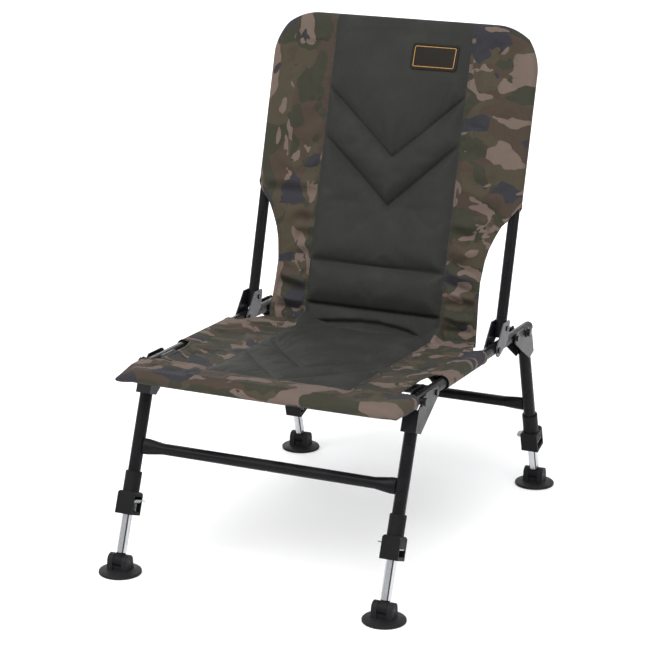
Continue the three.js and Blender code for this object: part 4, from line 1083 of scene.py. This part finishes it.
def stitchRings(s, cover, a, b, start):  # one stitch, at its place along the line from a to b
    run = np.subtract(b, a) / math.dist(a, b)
    (p, upP), (q, upQ) = (onSurface(cover, *np.add(a, run * t)) for t in (start, start + s["length"]))
    if p is None or q is None:
        return []
    up = (upP + upQ).normalized()
    side = (q - p).normalized().cross(up).normalized()
    points = []
    for step in range(s["steps"] + 1):
        t = step / s["steps"]
        thick = s["radius"] * mm * (s["tip"] + (1 - s["tip"]) * math.sin(math.pi * t))
        mid = p.lerp(q, t) + up * (s["rise"] * math.sin(math.pi * t) + s["lift"]) * mm
        for k in range(s["sides"]):
            turn = 2 * math.pi * k / s["sides"]
            points.append(mid + side * thick * math.cos(turn) + up * thick * math.sin(turn))
    return points


def stitchLines(name, cover, lines, look, body):
    s = stitchSet
    points, faces = [], []
    for a, b in lines:
        for k in range(int(math.dist(a, b) // s["pitch"])):
            rings = stitchRings(s, cover, a, b, (k + 0.5) * s["pitch"] - s["length"] / 2)
            if rings:
                faces += tubeFaces(s["steps"] + 1, s["sides"], len(points))
                points += rings
    made = newMesh(name, points, faces)
    made.data.materials.append(look)
    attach(made, body)


def threadMaterial(name, colour):
    made, tree, shader = newMaterial(name, {"Sheen Weight": 0.3, "Roughness": 0.6})
    where = put(tree, "ShaderNodeTexCoord").outputs["Object"]
    twist = noised(tree, where, 1800.0, 2.0)[0]
    shaded = mixed(tree, twist, mixed(tree, 0.4, colour, black), colour)
    tree.links.new(shaded, shader.inputs["Base Color"])
    bumped(tree, shader, twist, 0.4, 0.0002)
    return made


darkThread = threadMaterial("darkThread", srgb(24, 25, 23))
oliveThread = threadMaterial("oliveThread", srgb(31, 31, 26))


def beside(seams, offset):
    moved = []
    for a, b in seams:
        run = np.subtract(b, a) / math.dist(a, b)
        side = np.array([-run[1], run[0]]) * offset
        moved.append((tuple(np.add(a, side)), tuple(np.add(b, side))))
    return moved


apart = stitchSet["apart"]
backLines = [((-120, 6), (-120, 505)), ((120, 6), (120, 505))] + backSet["seams"][2:6]
backTop = beside(backLines[:1], apart) + beside(backLines[1:2], -apart)
stitchLines("backStitches", "backCover", backLines, darkThread, "back")
stitchLines("backTopStitches", "backCover", backTop, oliveThread, "back")
seatLines = [((-120, -80), (-120, 236)), ((120, -80), (120, 236)), ((-120, 236.8), (120, 236.8))]
seatTop = beside(seatLines[:1], apart) + beside(seatLines[1:2], -apart) + beside(seatLines[2:], apart)
stitchLines("seatStitches", "seatCover", seatLines + seatSet["seams"][3:], darkThread, "seat")
stitchLines("seatTopStitches", "seatCover", seatTop, oliveThread, "seat")
print("stitches laid")

# Rolled hems along the free edges, and round the ends of the sleeves
hemSet = {"wide": 4.6, "thick": 0.9, "sides": 8, "inset": 3.0, "lift": 0.1, "tube": 222, "ring": 11.55,
          "ringSteps": 22}


def hemRings(points, sides, ups):
    made = []
    count = hemSet["sides"]
    for p, side, up in zip(points, sides, ups):
        for k in range(count):
            turn = 2 * math.pi * k / count
            a = math.copysign(abs(math.cos(turn)) ** 0.6, math.cos(turn))
            b = math.copysign(abs(math.sin(turn)) ** 0.8, math.sin(turn))
            made.append(p + side * (hemSet["wide"] * mm / 2 * a) + up * (hemSet["thick"] * mm / 2 * b))
    return made


def hemMesh(name, runs, body):
    points, faces, plan = [], [], []
    for *run, places in runs:
        faces += tubeFaces(len(places), hemSet["sides"], len(points))
        points += hemRings(*run)
        for px, pv in places:
            turned = body == "back" and px < 0
            plan += [(pv * mm, px * mm) if turned else (px * mm, pv * mm)] * hemSet["sides"]
    made = newMesh(name, points, faces)
    layPlan(made, plan)
    made.data.materials.append(camoCloth)
    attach(made, body)


def sleeveRing(toWorld, side, v, shear, fromDeg, toDeg, along):
    tube, radius, steps = hemSet["tube"], hemSet["ring"], hemSet["ringSteps"]
    points, sides, ups, places = [], [], [], []
    for k in range(steps + 1):
        a = math.radians(fromDeg + (toDeg - fromDeg) * k / steps)
        px, h = side * (tube + radius * math.sin(a)), radius * math.cos(a)
        pv = v + shear * math.sin(a) + along
        point = worldPoint(toWorld, px, pv, h)
        points.append(point)
        places.append((side * (tube + radius * a), v))
        ups.append((point - worldPoint(toWorld, side * tube, pv, 0)).normalized())
        sides.append((worldPoint(toWorld, px, pv + 1, h) - point).normalized())
    return points, sides, ups, places


def edgeRun(cover, s, side, vs):
    points, sides, ups, places = [], [], [], []
    for v in vs:
        x = side * (s["outerAt"](v) - hemSet["inset"])
        p, normal = onSurface(cover, x, v)
        if p is not None:
            points.append(p + normal * hemSet["lift"] * mm)
            ups.append(normal)
            places.append((x, v))
    for i, up in enumerate(ups):
        run = (points[min(i + 1, len(points) - 1)] - points[max(i - 1, 0)]).normalized()
        sides.append(run.cross(up).normalized())
    return points, sides, ups, places


backHems = [edgeRun("backCover", backSet, side, np.linspace(4, 211, 60)) for side in (-1, 1)]
backHems += [sleeveRing(backToWorld, side, 213.5, 17, 0, 180, 3.4) for side in (-1, 1)]
hemMesh("backHems", backHems, "back")
seatHems = []
for start, end, count in ((-120, -50, 26), (121, 235, 34)):
    seatHems += [edgeRun("seatCover", seatSet, side, np.linspace(start, end, count)) for side in (-1, 1)]
for v, toDeg, along in ((-47.8, 186, 3.6), (119.2, 186, -3.6), (236.8, 86, 3.6)):
    seatHems += [sleeveRing(seatToWorld, side, v, 0, -8, toDeg, along) for side in (-1, 1)]
hemMesh("seatHems", seatHems, "seat")
print("hems turned")

# Blank woven badge with a plain gold border
badgeSet = {
    "x": (21, 102),
    "v": (437.0, 480.0),
    "corner": 5.5,
    "cornerLeast": 0.8,
    "cornerShrink": 0.6,
    "ringPoints": 48,
    "rings": [(0, 0.2), (0, 1.5), (0.5, 2.0), (2.6, 2.0), (3.0, 1.7), (6, 1.7), (11, 1.75), (16, 1.8)],
    "borderInset": 5.0,
    "borderHalf": 0.6,
    "borderThick": 0.4,
    "borderRise": 2.0,
    "borderSides": 6,
}


def roundedRing(s, inset):
    (x0, x1), (v0, v1) = s["x"], s["v"]
    cx, cv, hx, hv = (x0 + x1) / 2, (v0 + v1) / 2, (x1 - x0) / 2 - inset, (v1 - v0) / 2 - inset
    r = max(s["corner"] - inset * s["cornerShrink"], s["cornerLeast"])
    points = []
    per = s["ringPoints"] // 4
    for q, (sx, sv) in enumerate(((1, 1), (-1, 1), (-1, -1), (1, -1))):
        for k in range(per):
            a = (q + k / (per - 1)) * math.pi / 2
            points.append((cx + sx * (hx - r) + r * math.cos(a), cv + sv * (hv - r) + r * math.sin(a)))
    return points


def grainyMaterial(name, values, fine, coarse, dark, light):
    made, tree, shader = newMaterial(name, values)
    where = put(tree, "ShaderNodeTexCoord").outputs["Object"]
    grain = placeGroup(tree, surfaceGrain, {"Vector": where, "Fine": fine, "Coarse": coarse})
    tree.links.new(mixed(tree, grain["Tone"], dark, light), shader.inputs["Base Color"])
    return made, tree, shader, grain


def makeBadge(s):
    count, around = s["ringPoints"], s["borderSides"]
    points = []
    for inset, lift in s["rings"]:
        for x, v in roundedRing(s, inset):
            p, normal = onSurface("backCover", x, v)
            points.append(p + normal * lift * mm)
    faces = tubeFaces(len(s["rings"]), count, closed=False)
    faces.append([len(points) - count + k for k in range(count)])
    badge = newMesh("badgePatch", points, faces)
    rubber, tree, shader, grain = grainyMaterial("badgeRubber", {"Specular IOR Level": 0.16}, 1400.0, 200.0,
                                                 srgb(20, 16, 13), srgb(32, 25, 20))
    tree.links.new(ranged(tree, grain["Tone"], 0.3, 0.7, 0.42, 0.6), shader.inputs["Roughness"])
    bumped(tree, shader, grain["Height"], 0.4, 0.0003)
    badge.data.materials.append(rubber)
    line = roundedRing(s, s["borderInset"])
    border = []
    for k, (x, v) in enumerate(line):
        p, normal = onSurface("backCover", x, v)
        before, after = line[k - 1], line[(k + 1) % count]
        run = Vector((after[0] - before[0], 0, after[1] - before[1])).normalized()
        side = run.cross(normal).normalized()
        mid = p + normal * s["borderRise"] * mm
        for j in range(around):
            turn = 2 * math.pi / around * j
            border.append(mid + side * s["borderHalf"] * mm * math.cos(turn)
                          + normal * s["borderThick"] * mm * math.sin(turn))
    own = [[k % len(border) for k in face] for face in tubeFaces(count + 1, around, closed=False)]
    rim = newMesh("badgeBorder", border, own)
    gold = grainyMaterial("goldBorder", {"Roughness": 0.4}, 900.0, 260.0,
                          srgb(150, 108, 42), srgb(206, 158, 76))
    rim.data.materials.append(gold[0])
    for obj in (badge, rim):
        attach(obj, "back")


makeBadge(badgeSet)
print("badge sewn on")

# Cloth that joins the two covers in the crease
creaseSet = {"rows": 15, "columns": 74, "half": 181.5, "seatV": -122.2, "backV": -0.6, "under": 0.9,
             "dip": 9.0, "flat": 0.0165, "planFrom": -0.13, "planDeep": 0.02}


def makeCrease(s):
    xs = np.linspace(-s["half"], s["half"], s["columns"])
    ends = []
    for cover, toWorld, v in (("seatCover", seatToWorld, s["seatV"]), ("backCover", backToWorld, s["backV"])):
        edge, (top, _) = plans[cover]["x"][0], plans[cover]["heights"]
        h = np.interp(xs, edge * s["half"] / edge.max(), top[0])
        ends.append(toWorld(xs, np.full_like(xs, v), h - s["under"]))
    start, end = ends
    middle = (start + end) / 2 + np.array([0, 0, -s["dip"] * mm])
    points, plan = [], []
    for k in range(s["rows"]):
        t = k / (s["rows"] - 1)
        points += list(start * (1 - t) ** 2 + middle * 2 * t * (1 - t) + end * t * t)
        plan += [(x * mm, s["planFrom"] + t * s["planDeep"]) for x in xs]
    made = newMesh("creaseCloth", points, gridFaces(s["rows"], s["columns"]))
    layPlan(made, plan)
    made.data.materials.append(camoCloth)
    made.data.materials.append(panelCloth)
    looks = [int(abs((a + b) / 2) < seatSet["panelHalf"]) for a, b in zip(xs, xs[1:])]
    made.data.polygons.foreach_set("material_index", looks * (s["rows"] - 1))
    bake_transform(made)


makeCrease(creaseSet)
print("crease cloth joined")

# Lock springs, pressed between the leg and the plate above them
coilSet = {"radius": 2.1, "wire": 0.45, "half": 5.68, "turns": 6.5, "closed": 1.0, "closedPitch": 1.05,
           "steps": 22, "sides": 8}


def coilHeights(s, turn):  # the first and the last turn lie closed
    whole, closed, end = 2 * s["half"], s["closed"], s["turns"] - s["closed"]
    rise = closed * 2 * s["wire"] * s["closedPitch"]
    return np.interp(turn, (0, closed, end, s["turns"]), (0, rise, whole - rise, whole)) - s["half"]


def makeCoil(leg, s):
    node = nodes[leg + "_lock_spring"]
    at = np.array([node.matrix_world @ v.co for v in node.data.vertices])
    centre = Vector((at.min(0) + at.max(0)) / 2)
    spread, ways = np.linalg.eigh(np.cov((at - at.mean(0)).T))
    axis = Vector(ways[:, int(np.argmax(spread))])
    axis = axis if axis.z > 0 else -axis
    u = Vector((1, 0, 0))
    w = axis.cross(u)
    count = int(s["turns"] * s["steps"]) + 1
    turn = np.linspace(0, s["turns"], count)
    line = [centre + (u * math.cos(a) + w * math.sin(a)) * s["radius"] * mm + axis * h * mm
            for a, h in zip(turn * 2 * math.pi, coilHeights(s, turn))]
    points = []
    sides = s["sides"]
    for k, p in enumerate(line):
        run = (line[min(k + 1, count - 1)] - line[max(k - 1, 0)]).normalized()
        out = (p - centre - axis * (p - centre).dot(axis)).normalized()
        side = run.cross(out).normalized()
        out = side.cross(run)
        for j in range(sides):
            a = 2 * math.pi * j / sides
            points.append(p + (out * math.cos(a) + side * math.sin(a)) * s["wire"] * mm)
    parts = leg.split("_")
    name = "lockCoil" + parts[0].capitalize() + parts[1].capitalize()
    coil = newMesh(name, points, tubeFaces(count, sides))
    coil.data.materials.append(finishes["zinc_plate"])
    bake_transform(coil)
    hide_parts(leg + "_lock_spring")


for leg in ("front_left", "front_right", "rear_left", "rear_right"):
    makeCoil(leg, coilSet)
print("lock springs wound")

studioSet = {
    "floorHalf": 4.0,
    "floorFront": 7.0,
    "wallRadius": 1.2,
    "wallBehind": 3.0,
    "wallHeight": 5.0,
    "bendSteps": 16,
    "paper": (0.9, 0.9, 0.9),
    "fleck": 0.99,
    "fleckScale": 3.0,
    "paperGlow": 0.17,
    "worldColour": (0.97, 0.98, 1.0),
    "worldStrength": 0.62,
    "skyFrom": (0.12, -1.0, 1.5),
    "skyStrength": 2.3,
    "skyAngle": 50,
    "lampSize": 1.2,
    "lamps": [  # place, target, watts
        ("keyLamp", (-1.9, -2.4, 1.9), (0, 0, 0.35), 16),
        ("fillLamp", (2.9, -1.2, 1.3), (0, 0, 0.35), 9),
        ("rimLamp", (-1.8, 2.4, 1.8), (0, 0, 0.4), 12),
    ],
}


def makeStudio(s):
    half, radius, behind, steps = s["floorHalf"], s["wallRadius"], s["wallBehind"], s["bendSteps"]
    profile = [(-s["floorFront"], 0), (behind, 0)]
    for k in range(1, steps + 1):
        a = math.pi / 2 * k / steps
        profile.append((behind + radius * math.sin(a), radius * (1 - math.cos(a))))
    profile.append((behind + radius, s["wallHeight"]))
    points = [(x, y, z) for y, z in profile for x in (-half * 2, half * 2)]
    sweepPaper = newMesh("studioPaper", points, gridFaces(len(profile), 2))
    sweepPaper.matrix_world = Matrix.Rotation(math.radians(cameraSet["azimuth"]), 4, "Z")
    made, tree, shader = newMaterial("studioPaper", {
        "Roughness": 0.9, "Specular IOR Level": 0.1, "Emission Color": (1, 1, 1, 1),
        "Emission Strength": s["paperGlow"]})
    where = put(tree, "ShaderNodeTexCoord").outputs["Object"]
    fleck = noised(tree, where, s["fleckScale"], 4.0)[0]
    darker = tuple(c * s["fleck"] for c in s["paper"]) + (1,)
    tree.links.new(mixed(tree, fleck, darker, s["paper"] + (1,)), shader.inputs["Base Color"])
    sweepPaper.data.materials.append(made)
    world = bpy.data.worlds.new("studioWorld")
    world.use_nodes = True
    shade = world.node_tree.nodes["Background"]
    shade.inputs[0].default_value = s["worldColour"] + (1,)
    shade.inputs[1].default_value = s["worldStrength"]
    bpy.context.scene.world = world
    bpy.context.scene.view_settings.view_transform = "Standard"
    data = bpy.data.lights.new("skyLamp", "SUN")
    data.energy = s["skyStrength"]
    data.angle = math.radians(s["skyAngle"])
    addObject("skyLamp", data).rotation_euler = Vector(s["skyFrom"]).to_track_quat("Z", "Y").to_euler()
    for name, place, target, power in s["lamps"]:
        data = bpy.data.lights.new(name, "AREA")
        data.shape = "DISK"
        data.size = s["lampSize"]
        data.energy = power
        lamp = addObject(name, data)
        lamp.location = place
        lamp.rotation_euler = (Vector(target) - Vector(place)).to_track_quat("-Z", "Y").to_euler()


makeStudio(studioSet)
print("studio lit")
